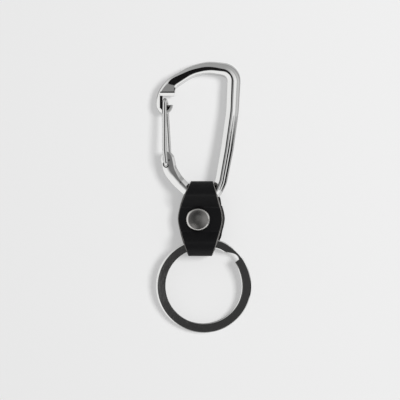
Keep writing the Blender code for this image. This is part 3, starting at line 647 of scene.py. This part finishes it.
def shares_at(point, corners):
    """Section shares at a point, on a smooth curve through the shares of the corners round it."""
    nearest = []
    for index, (start, finish) in enumerate(zip(corners, corners[1:])):
        run = finish - start
        along = min(max((point - start).dot(run) / run.length_squared, 0), 1)
        nearest.append(((start + run * along - point).length, index, along))
    _, index, along = min(nearest)
    last = len(corners) - 1
    nearby = [frame_corners[min(max(index + step, 0), last)][3:] for step in (-1, 0, 1, 2)]
    shares = []
    for before, first, second, after in zip(*nearby):
        slope = second - before
        bend = 2 * before - 5 * first + 4 * second - after
        twist = 3 * first - before - 3 * second + after
        shares.append(first + 0.5 * along * (slope + along * (bend + along * twist)))
    return shares


def rounded_corner(before, corner, after, size, pieces=4):
    """Replace an outline's corner by points on a small curve."""
    first = corner + (before - corner).normalized() * size
    last = corner + (after - corner).normalized() * size
    shares = [piece / pieces for piece in range(pieces + 1)]
    return [first * (1 - t) ** 2 + corner * (2 * t * (1 - t)) + last * t ** 2 for t in shares]


def bar_outline(sizes, width, chamfer, crest, half_depth, edge):
    """The bar's outline: upright inner edge, front bevel, crest, rounded outside and the same behind."""
    half_width = width / 2
    most_drop = half_depth * (1 - sizes.upright)
    bevel_drop = min(chamfer * tan(sizes.bevel_lean), most_drop)
    start = -half_width + chamfer + crest
    inner = Vector((-half_width, half_depth - bevel_drop))
    ridge = Vector((-half_width + chamfer, half_depth))
    half = rounded_corner(Vector((-half_width, 0)), inner, ridge, edge)
    half += rounded_corner(inner, ridge, Vector((start, half_depth)), edge)
    first = tan(sizes.outside_lean)
    bend = (tan(sizes.outside_steepest) - first) / 2
    run = half_width - start
    squash = min(most_drop / (run * (first + bend)), 1)
    for step in range(CURVE_STEPS):
        reach = step / CURVE_STEPS
        drop = run * reach * (first + bend * reach) * squash
        half.append(Vector((start + run * reach, half_depth - drop)))
    rim = Vector((half_width, half_depth - run * (first + bend) * squash))
    middle = Vector((half_width, 0))
    half += rounded_corner(half[-1], rim, middle, min(edge, (rim - half[-1]).length * RIM_MOST))
    half.append(middle)
    return half + [Vector((point.x, -point.y)) for point in reversed(half[:-1])]


def end_round(distance, reach):
    """Share of the full width at a distance from a rounded end."""
    missing = max(1 - distance / reach, 0)
    return max(sqrt(1 - missing * missing), END_LEAST)


def frame_bar(sizes):
    """The bar, swept along its middle line."""
    corners = middle_line(sizes)
    points = rounded_path(corners, [row[2] * sizes.bar_width for row in frame_corners], sizes.station)
    nose = [points[0].lerp(points[1], part) for part in end_stations]
    ear = [points[-1].lerp(points[-2], part) for part in reversed(end_stations)]
    points = points[:1] + nose + points[1:-1] + ear + points[-1:]
    travelled = [0]
    for start, finish in zip(points, points[1:]):
        travelled.append(travelled[-1] + (finish - start).length)
    slope = (sizes.depth / 2 - sizes.ear_half) / sizes.ear_slope
    sections = []
    for point, tangent, distance in zip(points, tangents_of(points), travelled):
        to_end = travelled[-1] - distance
        narrow = min(end_round(distance, sizes.nose_round), end_round(to_end, sizes.ear_round))
        width, chamfer, crest, depth = shares_at(point, corners)
        outline = bar_outline(
            sizes,
            sizes.bar_width * width * narrow,
            sizes.chamfer * chamfer * narrow,
            sizes.crest * crest * narrow,
            min(sizes.depth * depth / 2, sizes.ear_half + slope * (to_end - sizes.ear_reach)),
            sizes.edge_round * narrow,
        )
        outward = Vector((-tangent.y, tangent.x, 0))
        sections.append([point + outward * spot.x + Vector((0, 0, spot.y)) for spot in outline])
    return object_from("carabiner_frame_cast", lofted(sections))


def nose_outside(sizes):
    """The nose's outside, right of the rivet."""
    across, _, _, width, *_ = frame_corners[NOSE_CORNER]
    return sizes.shift + across * sizes.half_span - sizes.bar_width * width / 2


def notch_sides(sizes):
    """Lower and upper side of the notch, above the seat hinge."""
    low = sizes.rise * sizes.notch_rise - sizes.hinge_up
    return low, low + sizes.notch_height


def front_leg(sizes, gate):
    """Middle of the front leg's straight run, right of the rivet."""
    return nose_outside(sizes) + sizes.nose_wall + gate.nose_gap + gate.wire / 2


def nose_cutters(sizes, gate):
    """Pockets for the gate's legs, the sloping facet above them and the notch for the crossbar."""
    outside = nose_outside(sizes)
    top = sizes.depth / 2
    above = top + CUT_PAST
    notch_low, notch_high = notch_sides(sizes)
    facet_high = notch_high + sizes.facet_run
    step_high = notch_high + sizes.step_slope
    ledge_high = step_high + sizes.facet_ledge
    ledge_up = top - sizes.facet_drop - sizes.ledge_step
    left = outside + sizes.nose_wall
    right = outside + sizes.bar_width * frame_corners[NOSE_CORNER][3] + CUT_PAST
    groove_left = front_leg(sizes, gate) - gate.wire / 2 - sizes.groove_gap
    taper_high = notch_low - sizes.pocket_depth
    low = notch_low - POCKET_PAST
    floors = []
    for height, upper in ((sizes.tongue_half, notch_high), (ledge_up, step_high), (above, step_high)):
        plan = [(left, upper), (left, taper_high), (groove_left, taper_high - sizes.pocket_taper)]
        plan += [(groove_left, low), (right, low), (right, upper)]
        floors.append([Vector((x, y, height)) for x, y in plan])
    fall = sizes.facet_drop / (facet_high - step_high)
    bottom = top - fall * (facet_high - notch_high)
    wedge = [(facet_high, top), (facet_high, above), (notch_high, above), (notch_high, bottom)]
    ledge = [(ledge_high, ledge_up), (ledge_high, above), (notch_high, above), (notch_high, ledge_up)]
    sideways = Matrix(((0, 0, 1, 0), (1, 0, 0, 0), (0, 1, 0, 0), (0, 0, 0, 1)))
    middle = Matrix.Translation((middle_line(sizes)[NOSE_CORNER].x, step_high, 0))
    leaning = middle @ Matrix.Rotation(sizes.facet_turn, 4, "Z") @ middle.inverted() @ sideways
    deep = outside + sizes.notch_wall
    notch = [(deep, notch_low), (right, notch_low), (right, notch_high), (deep, notch_high)]
    return [
        with_mirror_image(lofted(floors)),
        with_mirror_image(prism(wedge, leaning, outside, right + FACET_PAST)),
        with_mirror_image(prism(ledge, sideways, outside, right + FACET_PAST)),
        prism(notch, Matrix(), -above, above),
    ]


def slot_outline(start, finish, radius, steps=20):
    """Outline of a slot with round ends."""
    heading = atan2(finish.y - start.y, finish.x - start.x)
    outline = []
    for centre, first in ((finish, heading - QUARTER), (start, heading + QUARTER)):
        for step in range(steps + 1):
            angle = first + pi * step / steps
            outline.append((centre.x + radius * cos(angle), centre.y + radius * sin(angle)))
    return outline


def gate_place():
    """The gate's pivot in the frame's own plane."""
    return frame_space().inverted() @ Vector(joints["gate_pivot"]["pos_m"])


def ear_cutters(sizes, gate):
    """The two sockets for the wire's ends, each with a small hole through its floor."""
    pivot = gate_place()
    cutters = []
    for sign in (-1, 1):
        offset = Vector((sign * gate.offset_x, sign * gate.offset_y, 0))
        moved = Matrix.Rotation(-gate.travel, 3, "Z") @ offset
        slot = slot_outline(pivot + offset, pivot + moved, gate.wire / 2 + gate.socket_gap)
        low, high = sorted((sign * sizes.socket_past, -sign * sizes.depth))
        cutters.append(prism(slot, Matrix(), low, high))
        hole = [(pivot + offset + Vector((*spoke, 0)))[:2] for spoke in circle(sizes.pilot / 2, gate.sides)]
        cutters.append(prism(hole, Matrix(), -sizes.depth, sizes.depth))
    return cutters


def round_tongue(body, sizes, gate):
    """Round the free edges of the tongue beside the gate's front leg."""
    start = front_leg(sizes, gate)
    shape = bmesh.new()
    shape.from_mesh(body.data)
    bmesh.ops.dissolve_limit(shape, angle_limit=radians(0.5), verts=shape.verts, edges=shape.edges)
    edges = {}
    for face in shape.faces:
        level = abs(face.calc_center_median().z) - sizes.tongue_half
        if abs(face.normal.z) > LEVEL and abs(level) < sizes.edge_round / 10:
            for edge in face.edges:
                beside = max(corner.co.x for corner in edge.verts) > start
                if beside and edge.is_convex and edge.calc_face_angle() > SHARP:
                    edges[edge] = True
    bmesh.ops.bevel(shape, geom=list(edges), offset=sizes.lip_bevel, segments=2, profile=0.5, affect="EDGES")
    shape.to_mesh(body.data)
    shape.free()


class MakeFrame(bpy.types.Operator):
    """Make the cast frame with its hooked nose and flattened ear"""

    bl_idname = "keychain.make_frame"
    bl_label = "Frame"

    def execute(self, context):
        parts = context.scene.keychain
        made = frame_bar(parts.frame)
        cut_all(made, ear_cutters(parts.frame, parts.gate) + nose_cutters(parts.frame, parts.gate))
        round_tongue(made, parts.frame, parts.gate)
        made.data.transform(frame_space())
        made.data.materials.clear()
        made.data.materials.append(chrome_finish(parts.finish, "cast chrome"))
        smooth(made, 13)
        made.modifiers.new("even shading", "WEIGHTED_NORMAL").keep_sharp = True
        settle(made)
        finish_piece(made, "frame", "carabiner_frame")
        return {"FINISHED"}


# Gate


def grown(made, name, build, values):
    """Run a geometry node tree with named inputs on an object, and keep the result as a plain mesh."""
    tree = bpy.data.node_groups.new(name, "GeometryNodeTree")
    tree.interface.new_socket("Geometry", in_out="INPUT", socket_type="NodeSocketGeometry")
    for label, value in values.items():
        kind = {float: "NodeSocketFloat", int: "NodeSocketInt"}.get(type(value), "NodeSocketMaterial")
        tree.interface.new_socket(label, in_out="INPUT", socket_type=kind)
    tree.interface.new_socket("Geometry", in_out="OUTPUT", socket_type="NodeSocketGeometry")
    given = {socket.name: Signal(socket) for socket in tree.nodes.new("NodeGroupInput").outputs}
    real = add(tree, "GeometryNodeRealizeInstances", {0: build(tree, given)})
    shaded = add(tree, "GeometryNodeSetShadeSmooth", {0: real})
    painted = add(tree, "GeometryNodeSetMaterial", {"Geometry": shaded, "Material": given["Material"]})
    feed(tree.nodes.new("NodeGroupOutput"), {0: painted})
    step = made.modifiers.new(name, "NODES")
    step.node_group = tree
    for item in tree.interface.items_tree:
        if item.name in values:
            step[item.identifier] = values[item.name]
    settle(made)


def swept(path, profile):
    """A closed bar: a profile swept along a path."""
    bar = {"Curve": path, "Profile Curve": profile, "Fill Caps": True}
    return add(path.tree, "GeometryNodeCurveToMesh", bar)


def bent_wire(tree, given):
    """A wire bent along the object's edges, with each corner's radius in its bend attribute."""
    line = add(tree, "GeometryNodeMeshToCurve", {"Mesh": given["Geometry"]})
    bend = add(tree, "GeometryNodeInputNamedAttribute", {"Name": "bend"}, data_type="FLOAT")
    rounded = add(tree, "GeometryNodeFilletCurve", {"Curve": line, "Radius": bend, "Count": 14}, mode="POLY")
    sides = {"Resolution": given["Sides"], "Radius": given["Radius"]}
    profile = add(tree, "GeometryNodeCurvePrimitiveCircle", sides)
    return swept(rounded, profile)


class MakeGate(bpy.types.Operator):
    """Make the gate, one bent spring wire"""

    bl_idname = "keychain.make_gate"
    bl_label = "Gate"

    def execute(self, context):
        parts = context.scene.keychain
        gate = parts.gate
        height = parts.frame.ear_half + gate.leg_gap + gate.wire / 2
        end = parts.frame.socket_past - gate.end_gap
        pivot = gate_place()
        front_x = front_leg(parts.frame, gate) - pivot.x
        back_x = front_x + gate.splay
        reach = sum(notch_sides(parts.frame)) / 2 - pivot.y
        corners = [
            (-gate.offset_x, -gate.offset_y, -end, 0),
            (-gate.offset_x, -gate.offset_y, height, gate.bend),
            (front_x, gate.knee, height, gate.knee_bend),
            (front_x, reach, height, gate.bend),
            (back_x, reach, -height, gate.bend),
            (gate.offset_x, gate.knee, -height, gate.knee_bend),
            (gate.offset_x, gate.offset_y, -height, gate.bend),
            (gate.offset_x, gate.offset_y, end, 0),
        ]
        mesh = bpy.data.meshes.new("gate_spring_wire")
        mesh.from_pydata([row[:3] for row in corners], [(i, i + 1) for i in range(len(corners) - 1)], [])
        bends = mesh.attributes.new("bend", "FLOAT", "POINT")
        bends.data.foreach_set("value", [row[3] for row in corners])
        made = linked("gate_spring_wire", mesh)
        plating = chrome_finish(parts.finish, "wire chrome")
        values = {"Radius": gate.wire / 2, "Sides": gate.sides, "Material": plating}
        grown(made, "Bent wire", bent_wire, values)
        made.data.transform(frame_space() @ Matrix.Translation(pivot))
        smooth(made, 50)
        finish_piece(made, "gate", "gate_wire")
        return {"FINISHED"}


# Strap

# Width of the seat bar under the strap, as a share of the bar's.
SEAT_SHARE = 0.9
# Turning between near sections, in radians, that counts as a full bend.
FULL_BEND = 0.6
CORNER_STEPS = 4
CUT_EDGE = 1
FRONT_LAYER = 7


def tangent_shoulder(start, centre, radius, level):
    """Where a straight layer that leaves start and just clears a circle reaches a level."""
    across = centre[0] - start[0]
    up = centre[1] - start[1]
    rise = atan2(up, abs(across)) + asin(radius / hypot(across, up))
    return start[0] + copysign((level - start[1]) / tan(rise), across)


def strap_half_width(sizes, along):
    """Half of the strap's width at a distance along from the rivet."""
    middle = (sizes.top + sizes.bottom) / 2
    waist = (sizes.top - sizes.bottom) / 2
    away = min(abs(along - waist) / middle, 1)
    end_width = sizes.top_width if along > waist else sizes.bottom_width
    return (end_width + (sizes.width - end_width) * (1 - away ** sizes.curve)) / 2


def ring_stack(ring):
    """Height of the ring's two turns."""
    return 2 * ring.strip + ring.turn_gap


def strap_route(sizes, parts):
    """The strip's middle line, tail to tail, as points and bending radii."""
    half = sizes.thickness / 2
    lowest = parts.rivet.height + sizes.cap_gap + half
    low, middle, high = [lowest + (sizes.thickness + sizes.layer_gap) * layer for layer in range(3)]
    seat = Vector(joints["strap_swing"]["pos_m"]).yz
    ring = Vector(joints["ring_swing"]["pos_m"]).yz
    top_front = 2 * seat.y - half
    bottom_front = 2 * ring.y - half
    seat_clear = parts.frame.bar_width * SEAT_SHARE / 2 + parts.frame.hinge_up + sizes.fold_gap + half
    ring_corner = hypot(parts.ring.band / 2 + parts.ring.hinge_in, ring_stack(parts.ring) / 2)
    ring_clear = ring_corner + sizes.fold_gap + half
    top_shoulder = tangent_shoulder((sizes.land, high), seat, seat_clear, top_front)
    bottom_shoulder = tangent_shoulder((-sizes.land, high), ring, ring_clear, bottom_front)
    top_end = sizes.top - half
    bottom_end = half - sizes.bottom
    return [
        (sizes.tail, low, 0),
        (-sizes.land, low, sizes.layer_bend),
        (-sizes.land - sizes.bottom_foot, half, sizes.layer_bend),
        (bottom_end, half, sizes.fold_bend),
        (bottom_end, bottom_front, sizes.fold_bend),
        (bottom_shoulder, bottom_front, sizes.layer_bend),
        (-sizes.land, high, sizes.layer_bend),
        (sizes.land, high, sizes.layer_bend),
        (top_shoulder, top_front, sizes.layer_bend),
        (top_end, top_front, sizes.fold_bend),
        (top_end, half, sizes.fold_bend),
        (sizes.land + sizes.top_foot, half, sizes.layer_bend),
        (sizes.land, middle, sizes.layer_bend),
        (-sizes.tail, middle, 0),
    ]


def strip_outline(sizes, reach):
    """The strip's outline as across, up and kind: 0 face, 1 cut edge, 2 inside."""
    half = sizes.thickness / 2
    corner = sizes.corner
    flat = reach - corner
    below = [(-flat + 2 * flat * step / sizes.across, -half, 2) for step in range(sizes.across)]
    below.append((flat, -half, CUT_EDGE))
    angles = [QUARTER * step / CORNER_STEPS for step in range(CORNER_STEPS)]
    for angle in angles[1:]:
        below.append((flat + corner * sin(angle), -half + corner * (1 - cos(angle)), CUT_EDGE))
    for angle in angles:
        below.append((flat + corner * cos(angle), half - corner * (1 - sin(angle)), CUT_EDGE))
    return below + [(-across, -up, kind % 2) for across, up, kind in below]


def strap_shape(sizes, parts):
    """The folded strip as a bmesh with its place along the strip on every point."""
    route = strap_route(sizes, parts)
    corners = [Vector((0, along, height)) for along, height, _ in route]
    points = rounded_path(corners, [bend for _, _, bend in route], sizes.step)
    tangents = tangents_of(points)
    high = route[FRONT_LAYER][1]
    sections = []
    places = []
    travelled = 0
    for index, (point, tangent) in enumerate(zip(points, tangents)):
        travelled += (point - points[max(index - 1, 0)]).length
        turning = tangents[min(index + 2, len(points) - 1)].angle(tangents[max(index - 2, 0)])
        back_share = 1 - min(point.z / high, 1)
        fold_share = min(max((point.y - sizes.land) / (sizes.top - sizes.land), 0), 1)
        inward_share = 1 - min(abs(point.y) / sizes.bottom, 1) ** 2
        middle = sizes.shift + sizes.back_shift * back_share * inward_share
        middle += sizes.fold_shift * fold_share ** 2
        normal = Vector((0, -tangent.z, tangent.y))
        outline = strip_outline(sizes, strap_half_width(sizes, point.y))
        sections.append([point + Vector((middle + across, 0, 0)) + normal * up for across, up, _ in outline])
        places += [(across, travelled, min(turning / FULL_BEND, 1)) for across, _, _ in outline]
    shape = lofted(sections, [kind for _, _, kind in outline], CUT_EDGE)
    layer = shape.verts.layers.float_vector.new("strip_place")
    for corner, place in zip(shape.verts, places):
        corner[layer] = place
    return shape


class MakeStrap(bpy.types.Operator):
    """Make the leather strap, folded round the seat bar and the ring"""

    bl_idname = "keychain.make_strap"
    bl_label = "Strap"

    def execute(self, context):
        parts = context.scene.keychain
        made = object_from("strap_of_leather", strap_shape(parts.strap, parts))
        for finish in (grain_finish, edge_finish, flesh_finish):
            made.data.materials.append(finish(parts.finish))
        smooth(made, 60)
        finish_piece(made, "strap", "leather_strap")
        return {"FINISHED"}


# Rivet

# Power that fills out the hollow's round corner.
HOLLOW_POWER = 0.8


def cap_outline(sizes):
    """Outside and inside of a cap that opens upwards: a shallow dome, a rounded rim and a hollow."""
    radius = sizes.cap / 2
    dome = radius * sizes.dome
    rest = sizes.rest / 2
    flat = sizes.flat / 2
    outline = [(0, 0)]
    for step in range(CURVE_STEPS):
        part = step / CURVE_STEPS
        outline.append((rest + (dome - rest) * part, sizes.dome_drop * part * part))
    first = atan(2 * sizes.dome_drop / (dome - rest))
    for step in range(CURVE_STEPS + 1):
        angle = first + (QUARTER - first) * step / CURVE_STEPS
        across = (sin(angle) - sin(first)) / (1 - sin(first))
        up = (cos(first) - cos(angle)) / cos(first)
        height = sizes.dome_drop + (sizes.height - sizes.dome_drop) * up
        outline.append((dome + (radius - dome) * across, height))
    for step in range(CURVE_STEPS, -1, -1):
        angle = QUARTER * step / CURVE_STEPS
        across = flat + (radius - sizes.wall - flat) * sin(angle) ** HOLLOW_POWER
        up = sizes.wall + (sizes.height - sizes.wall) * (1 - cos(angle) ** HOLLOW_POWER)
        outline.append((across, up))
    outline.append((0, sizes.wall))
    return outline


class MakeRivet(bpy.types.Operator):
    """Make the rivet's two caps and finish its stud and socket"""

    bl_idname = "keychain.make_rivet"
    bl_label = "Rivet"

    def execute(self, context):
        parts = context.scene.keychain
        plating = rivet_finish(parts.finish)
        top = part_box("rivet_front_cap")[1][2]
        back = cap_outline(parts.rivet)
        front = [(radius, top - height) for radius, height in back]
        for name, outline, cad_node in (
            ("rivet_cap_behind", back, "rivet_back_cap"),
            ("rivet_cap_in_front", front, "rivet_front_cap"),
        ):
            made = object_from(name, turned(outline, parts.rivet.sides))
            made.data.materials.append(plating)
            smooth(made, 50)
            finish_piece(made, "strap", cad_node)
        for name in ("rivet_stud", "rivet_socket"):
            for slot in frame["nodes"][name].material_slots:
                slot.material = plating
        return {"FINISHED"}


# Ring

# Inward or upward part of a face's normal, past which it belongs to that side.
FACING = 0.3


def hump(travelled, place, reach):
    """One at a place along the strip, falling smoothly to nought on both sides."""
    away = clamped((travelled - place).math("ABSOLUTE") / reach)
    wave = (away * QUARTER).math("COSINE")
    return wave * wave


def wrapped_strip(tree, given):
    """A straight bar with bevelled edges, wrapped into two flat turns with a crossover between them."""
    bar = add(tree, "GeometryNodeCurvePrimitiveLine", {"End": (0, 0, 1)})
    fine = add(tree, "GeometryNodeResampleCurve", {"Curve": bar, "Count": given["Stations"]})
    sides = {"Width": given["Band"], "Height": given["Strip"] / given["Edge slope"]}
    outline = add(tree, "GeometryNodeCurvePrimitiveQuadrilateral", sides)
    bevel = {"Curve": outline, "Radius": given["Edge"], "Count": 1}
    cornered = add(tree, "GeometryNodeFilletCurve", bevel, mode="POLY")
    flat = add(tree, "ShaderNodeCombineXYZ", {0: 1, 1: given["Edge slope"], 2: 1})
    outline = add(tree, "GeometryNodeTransform", {"Geometry": cornered, "Scale": flat})
    across, thick, along = axes(add(tree, "GeometryNodeInputPosition"))
    travelled = along * given["Total"]
    crossed = clamped((travelled - given["First turn"]) / given["Cross"])
    fall = eased(crossed, 0, 1, 0.5, -0.5)
    lowered = eased(crossed, 0, 1, 0, 1)
    squeeze = hump(travelled, given["Neck at"], given["Neck reach"])
    band = given["Band"] + (given["Neck"] - given["Band"]) * squeeze
    middle = given["Radius"] - band * 0.5
    for place in (given["Neck at"], given["Neck at"] - 2 * pi):
        middle += hump(travelled, place, given["Bulge reach"]) * given["Bulge"]
    middle += hump(travelled, given["Lift at"], given["Lift reach"]) * given["Lift"]
    radius = middle + across * (band / given["Band"])
    angle = given["Start"] - travelled
    wrapped = add(tree, "ShaderNodeCombineXYZ", {
        0: radius * angle.math("COSINE") + lowered * given["Slip X"],
        1: radius * angle.math("SINE") + lowered * given["Slip Y"],
        2: (given["Strip"] + given["Gap"]) * fall + thick,
    })
    return add(tree, "GeometryNodeSetPosition", {"Geometry": swept(fine, outline), "Position": wrapped})


class MakeRing(bpy.types.Operator):
    """Make the split ring, two flat turns of one strip"""

    bl_idname = "keychain.make_ring"
    bl_label = "Ring"

    def execute(self, context):
        parts = context.scene.keychain
        ring = parts.ring
        made = object_from("split_ring_strip", bmesh.new())
        whole = 2 * pi + ring.end_angle
        values = {
            "Radius": ring.diameter / 2, "Band": ring.band, "Strip": ring.strip, "Gap": ring.turn_gap,
            "Edge": ring.edge, "Edge slope": ring.edge_slope, "Stations": ring.stations,
            "Start": ring.end_angle, "Total": 2 * pi + whole - ring.tail_angle,
            "First turn": whole - ring.cross_angle, "Cross": ring.fall_angle,
            "Neck": ring.neck, "Neck at": whole - ring.neck_angle, "Neck reach": ring.neck_reach,
            "Bulge": ring.bulge, "Bulge reach": ring.bulge_reach,
            "Lift": ring.lift, "Lift at": whole - ring.lift_angle, "Lift reach": ring.lift_reach,
            "Slip X": ring.slip * cos(ring.slip_angle), "Slip Y": ring.slip * sin(ring.slip_angle),
            "Material": chrome_finish(parts.finish, "ring chrome"),
        }
        grown(made, "Split ring", wrapped_strip, values)
        shape = bmesh.new()
        shape.from_mesh(made.data)
        bmesh.ops.recalc_face_normals(shape, faces=shape.faces)
        # Inner walls, all but the lower turn's upper bevel, take the painted shade material.
        for face in shape.faces:
            outward = face.calc_center_median()
            lower_bevel = outward.z < 0 and face.normal.z > FACING
            outward.z = 0
            inwards = face.normal.dot(outward.normalized()) < -FACING
            face.material_index = int(inwards and not lower_bevel)
        shape.to_mesh(made.data)
        shape.free()
        made.data.materials.append(ring_inside_painted_shade_finish(parts.finish))
        hinge = Vector(joints["ring_swing"]["pos_m"])
        drop = (ring.diameter - ring.band) / 2 - ring.hinge_in
        tilt = asin((hinge.z - ring_stack(ring) / 2) / (drop + ring.diameter / 2))
        place = Matrix.Translation(hinge) @ Matrix.Rotation(tilt, 4, "X")
        made.data.transform(place @ Matrix.Translation((ring.shift, -drop, 0)))
        smooth(made, 25)
        finish_piece(made, "ring", "split_ring")
        return {"FINISHED"}


# Studio

# Brightness of each side of the room as the metal shows it, by the degrees from straight up.
room_levels = {
    "east": [
        (0, 0.25), (6, 0.34), (12, 0.55), (20, 0.55), (30, 0.35), (36, 0.60), (46, 0.65), (48, 1.75),
        (66, 1.75), (68, 0.85), (78, 1.2), (86, 0.70), (90, 0.50),
    ],
    "west": [
        (0, 0.25), (4, 0.13), (8, 0.08), (14, 0.11), (24, 0.35), (38, 0.60), (50, 1.75), (84, 1.75),
        (87, 0.35), (90, 0.40),
    ],
    "north": [
        (0, 0.30), (6, 0.30), (8.5, 0.015), (16, 0.015), (20, 0.32), (25, 0.32), (36, 0.60),
        (60, 0.68), (84, 0.68), (90, 0.56),
    ],
    "south": [
        (0, 0.25), (4, 0.15), (8, 0.05), (12, 0.07), (30, 0.09), (38, 0.80), (46, 1.75), (84, 1.75),
        (87, 0.35), (90, 0.40),
    ],
}
BRIGHTEST = 2

# Dark laths of a window on the right, each as angle from straight up, half width and
# where it starts, round from the right towards the ring, all in degrees.
window_laths = [(57, 5.5, -4), (75, 5, -1.5)]
# Share of the half width over which a lath's long edges blur, and the degrees over which it starts
# and ends.
LATH_BLUR = 0.4
LATH_START = 4
lath_end = (22, 28)
# A card's blurred edge reaches out to this many times its own angle.
CARD_BLUR = 1.2
FLOOR_HALF = 3


def side_level(angle, stops):
    """Brightness of one side of the room by the angle from straight up."""
    ramp = add(angle.tree, "ShaderNodeValToRGB", {0: angle / QUARTER}, "Color")
    elements = ramp.socket.node.color_ramp.elements
    for degrees, _ in stops[1:-1]:
        elements.new(degrees / 90)
    for element, (_, level) in zip(elements, stops):
        element.color = (*[level / BRIGHTEST] * 3, 1)
    return ramp * BRIGHTEST


def window_shade(angle, x, y):
    """One where the room is plain, nought on a lath."""
    from_east = (y * -1).math("ARCTAN2", x)
    behind = eased(from_east, *map(radians, lath_end), 0, 1)
    clear = []
    for middle, half, first in window_laths:
        away = (angle - radians(middle)).math("ABSOLUTE")
        edge = [radians(half * (1 + side * LATH_BLUR)) for side in (-1, 1)]
        before = eased(from_east, radians(first), radians(first + LATH_START), 1, 0)
        clear.append(eased(away, *edge, 0, 1).math("MAXIMUM", before.math("MAXIMUM", behind)))
    return clear[0] * clear[1]


def room_light(studio):
    """The room: dark straight above, where the camera is, and pale sides of different brightness."""
    world = bpy.data.worlds.new("studio")
    world.use_nodes = True
    tree = world.node_tree
    tree.nodes.clear()
    heading = add(tree, "ShaderNodeTexCoord", output="Generated")
    x, y, z = axes(heading)
    angle = clamped(z).math("ARCCOSINE")
    flat = (x * x + y * y).math("MAXIMUM", 0.000001)
    levels = []
    for side, part, sign in (("east", x, 1), ("west", x, -1), ("north", y, 1), ("south", y, -1)):
        facing = (part * sign).math("MAXIMUM", 0)
        levels.append(facing * facing / flat * side_level(angle, room_levels[side]))
    total = (levels[0] + levels[1] + levels[2] + levels[3]) * window_shade(angle, x, y)
    card = Vector((tan(-studio.card_west), tan(-studio.card_south), 1)).normalized()
    towards = add(tree, "ShaderNodeVectorMath", {0: heading, 1: card}, "Value", operation="DOT_PRODUCT")
    rim = cos(studio.card_reach * CARD_BLUR)
    total = total.math("MAXIMUM", eased(towards, rim, cos(studio.card_reach), 0, studio.card_level))
    room = add(tree, "ShaderNodeBackground", {"Strength": total})
    backdrop = add(tree, "ShaderNodeBackground", {"Color": (*studio.floor, 1)})
    plain = add(tree, "ShaderNodeBackground", {"Strength": studio.room})
    seen = add(tree, "ShaderNodeLightPath", output="Is Camera Ray")
    glossy = add(tree, "ShaderNodeLightPath", output="Is Glossy Ray")
    lit = add(tree, "ShaderNodeMixShader", {0: glossy, 1: plain, 2: room})
    both = add(tree, "ShaderNodeMixShader", {0: seen, 1: lit, 2: backdrop})
    feed(tree.nodes.new("ShaderNodeOutputWorld"), {"Surface": both})
    return world


def floor_finish(studio):
    """Pale paper with a faint tooth, which shows the eye and the metal part of its own even glow."""
    made, shader, place = new_material("studio floor")
    tree = made.node_tree
    tint = mottled(noise(place, 900), studio.floor, 0.995)
    feed(shader, {"Base Color": tint, "Roughness": 1, "Specular IOR Level": 0})
    glow = add(tree, "ShaderNodeEmission", {"Color": tint})
    seen = add(tree, "ShaderNodeLightPath", output="Is Camera Ray")
    seen = seen.math("MAXIMUM", add(tree, "ShaderNodeLightPath", output="Is Glossy Ray"))
    mix = {0: seen * studio.floor_glow, 1: Signal(shader.outputs[0]), 2: glow}
    feed(tree.nodes["Material Output"], {"Surface": add(tree, "ShaderNodeMixShader", mix)})
    return made


class MakeStudio(bpy.types.Operator):
    """Make the floor, the light and the camera"""

    bl_idname = "keychain.make_studio"
    bl_label = "Studio"

    def execute(self, context):
        scene = context.scene
        studio = scene.keychain.studio
        mesh = bpy.data.meshes.new("studio_floor")
        corners = [(FLOOR_HALF * x, FLOOR_HALF * y, 0) for x, y in ((-1, -1), (1, -1), (1, 1), (-1, 1))]
        mesh.from_pydata(corners, [], [(0, 1, 2, 3)])
        mesh.materials.append(floor_finish(studio))
        linked("studio_floor", mesh)
        scene.world = room_light(studio)
        lamp = bpy.data.lights.new("key_lamp", "AREA")
        lamp.energy = studio.key_power
        lamp.size = studio.key_size
        key = linked("key_lamp", lamp)
        key.location = studio.key_place
        key.rotation_euler = (-Vector(studio.key_place)).to_track_quat("-Z", "Y").to_euler()
        key.visible_glossy = False
        view = bpy.data.cameras.new("camera")
        view.lens = studio.lens
        scene.camera = linked("camera", view)
        distance = studio.view_width * studio.lens / view.sensor_width
        scene.camera.location = (studio.view_x, studio.view_y, distance + studio.view_level)
        scene.view_settings.view_transform = "Standard"
        return {"FINISHED"}


class KeychainPanel(bpy.types.Panel):
    """Lists the keychain's pieces, sizes and colours"""

    bl_idname = "VIEW3D_PT_keychain"
    bl_label = "Keychain"
    bl_space_type = "VIEW_3D"
    bl_region_type = "UI"
    bl_category = "Keychain"

    def draw(self, context):
        parts = context.scene.keychain
        groups = (parts.studio, parts.frame, parts.gate, parts.strap, parts.rivet, parts.ring, parts.finish)
        for maker, group in zip((*makers, None), groups):
            box = self.layout.box()
            if maker:
                box.operator(maker.bl_idname)
            for key in group.__annotations__:
                box.prop(group, key)


makers = (MakeStudio, MakeFrame, MakeGate, MakeStrap, MakeRivet, MakeRing)
classes = (
    FrameSizes, GateSizes, StrapSizes, RivetSizes, RingSizes, Finishes, StudioSettings, Keychain,
    *makers, KeychainPanel,
)


def register():
    """Add the classes and the keychain's settings."""
    for item in classes:
        bpy.utils.register_class(item)
    bpy.types.Scene.keychain = PointerProperty(type=Keychain)


def unregister():
    """Take the classes and settings away again."""
    del bpy.types.Scene.keychain
    for item in reversed(classes):
        bpy.utils.unregister_class(item)


def main():
    """Make every piece."""
    register()
    for maker in makers:
        group, action = maker.bl_idname.split(".")
        getattr(getattr(bpy.ops, group), action)()


if __name__ == "__main__":
    main()
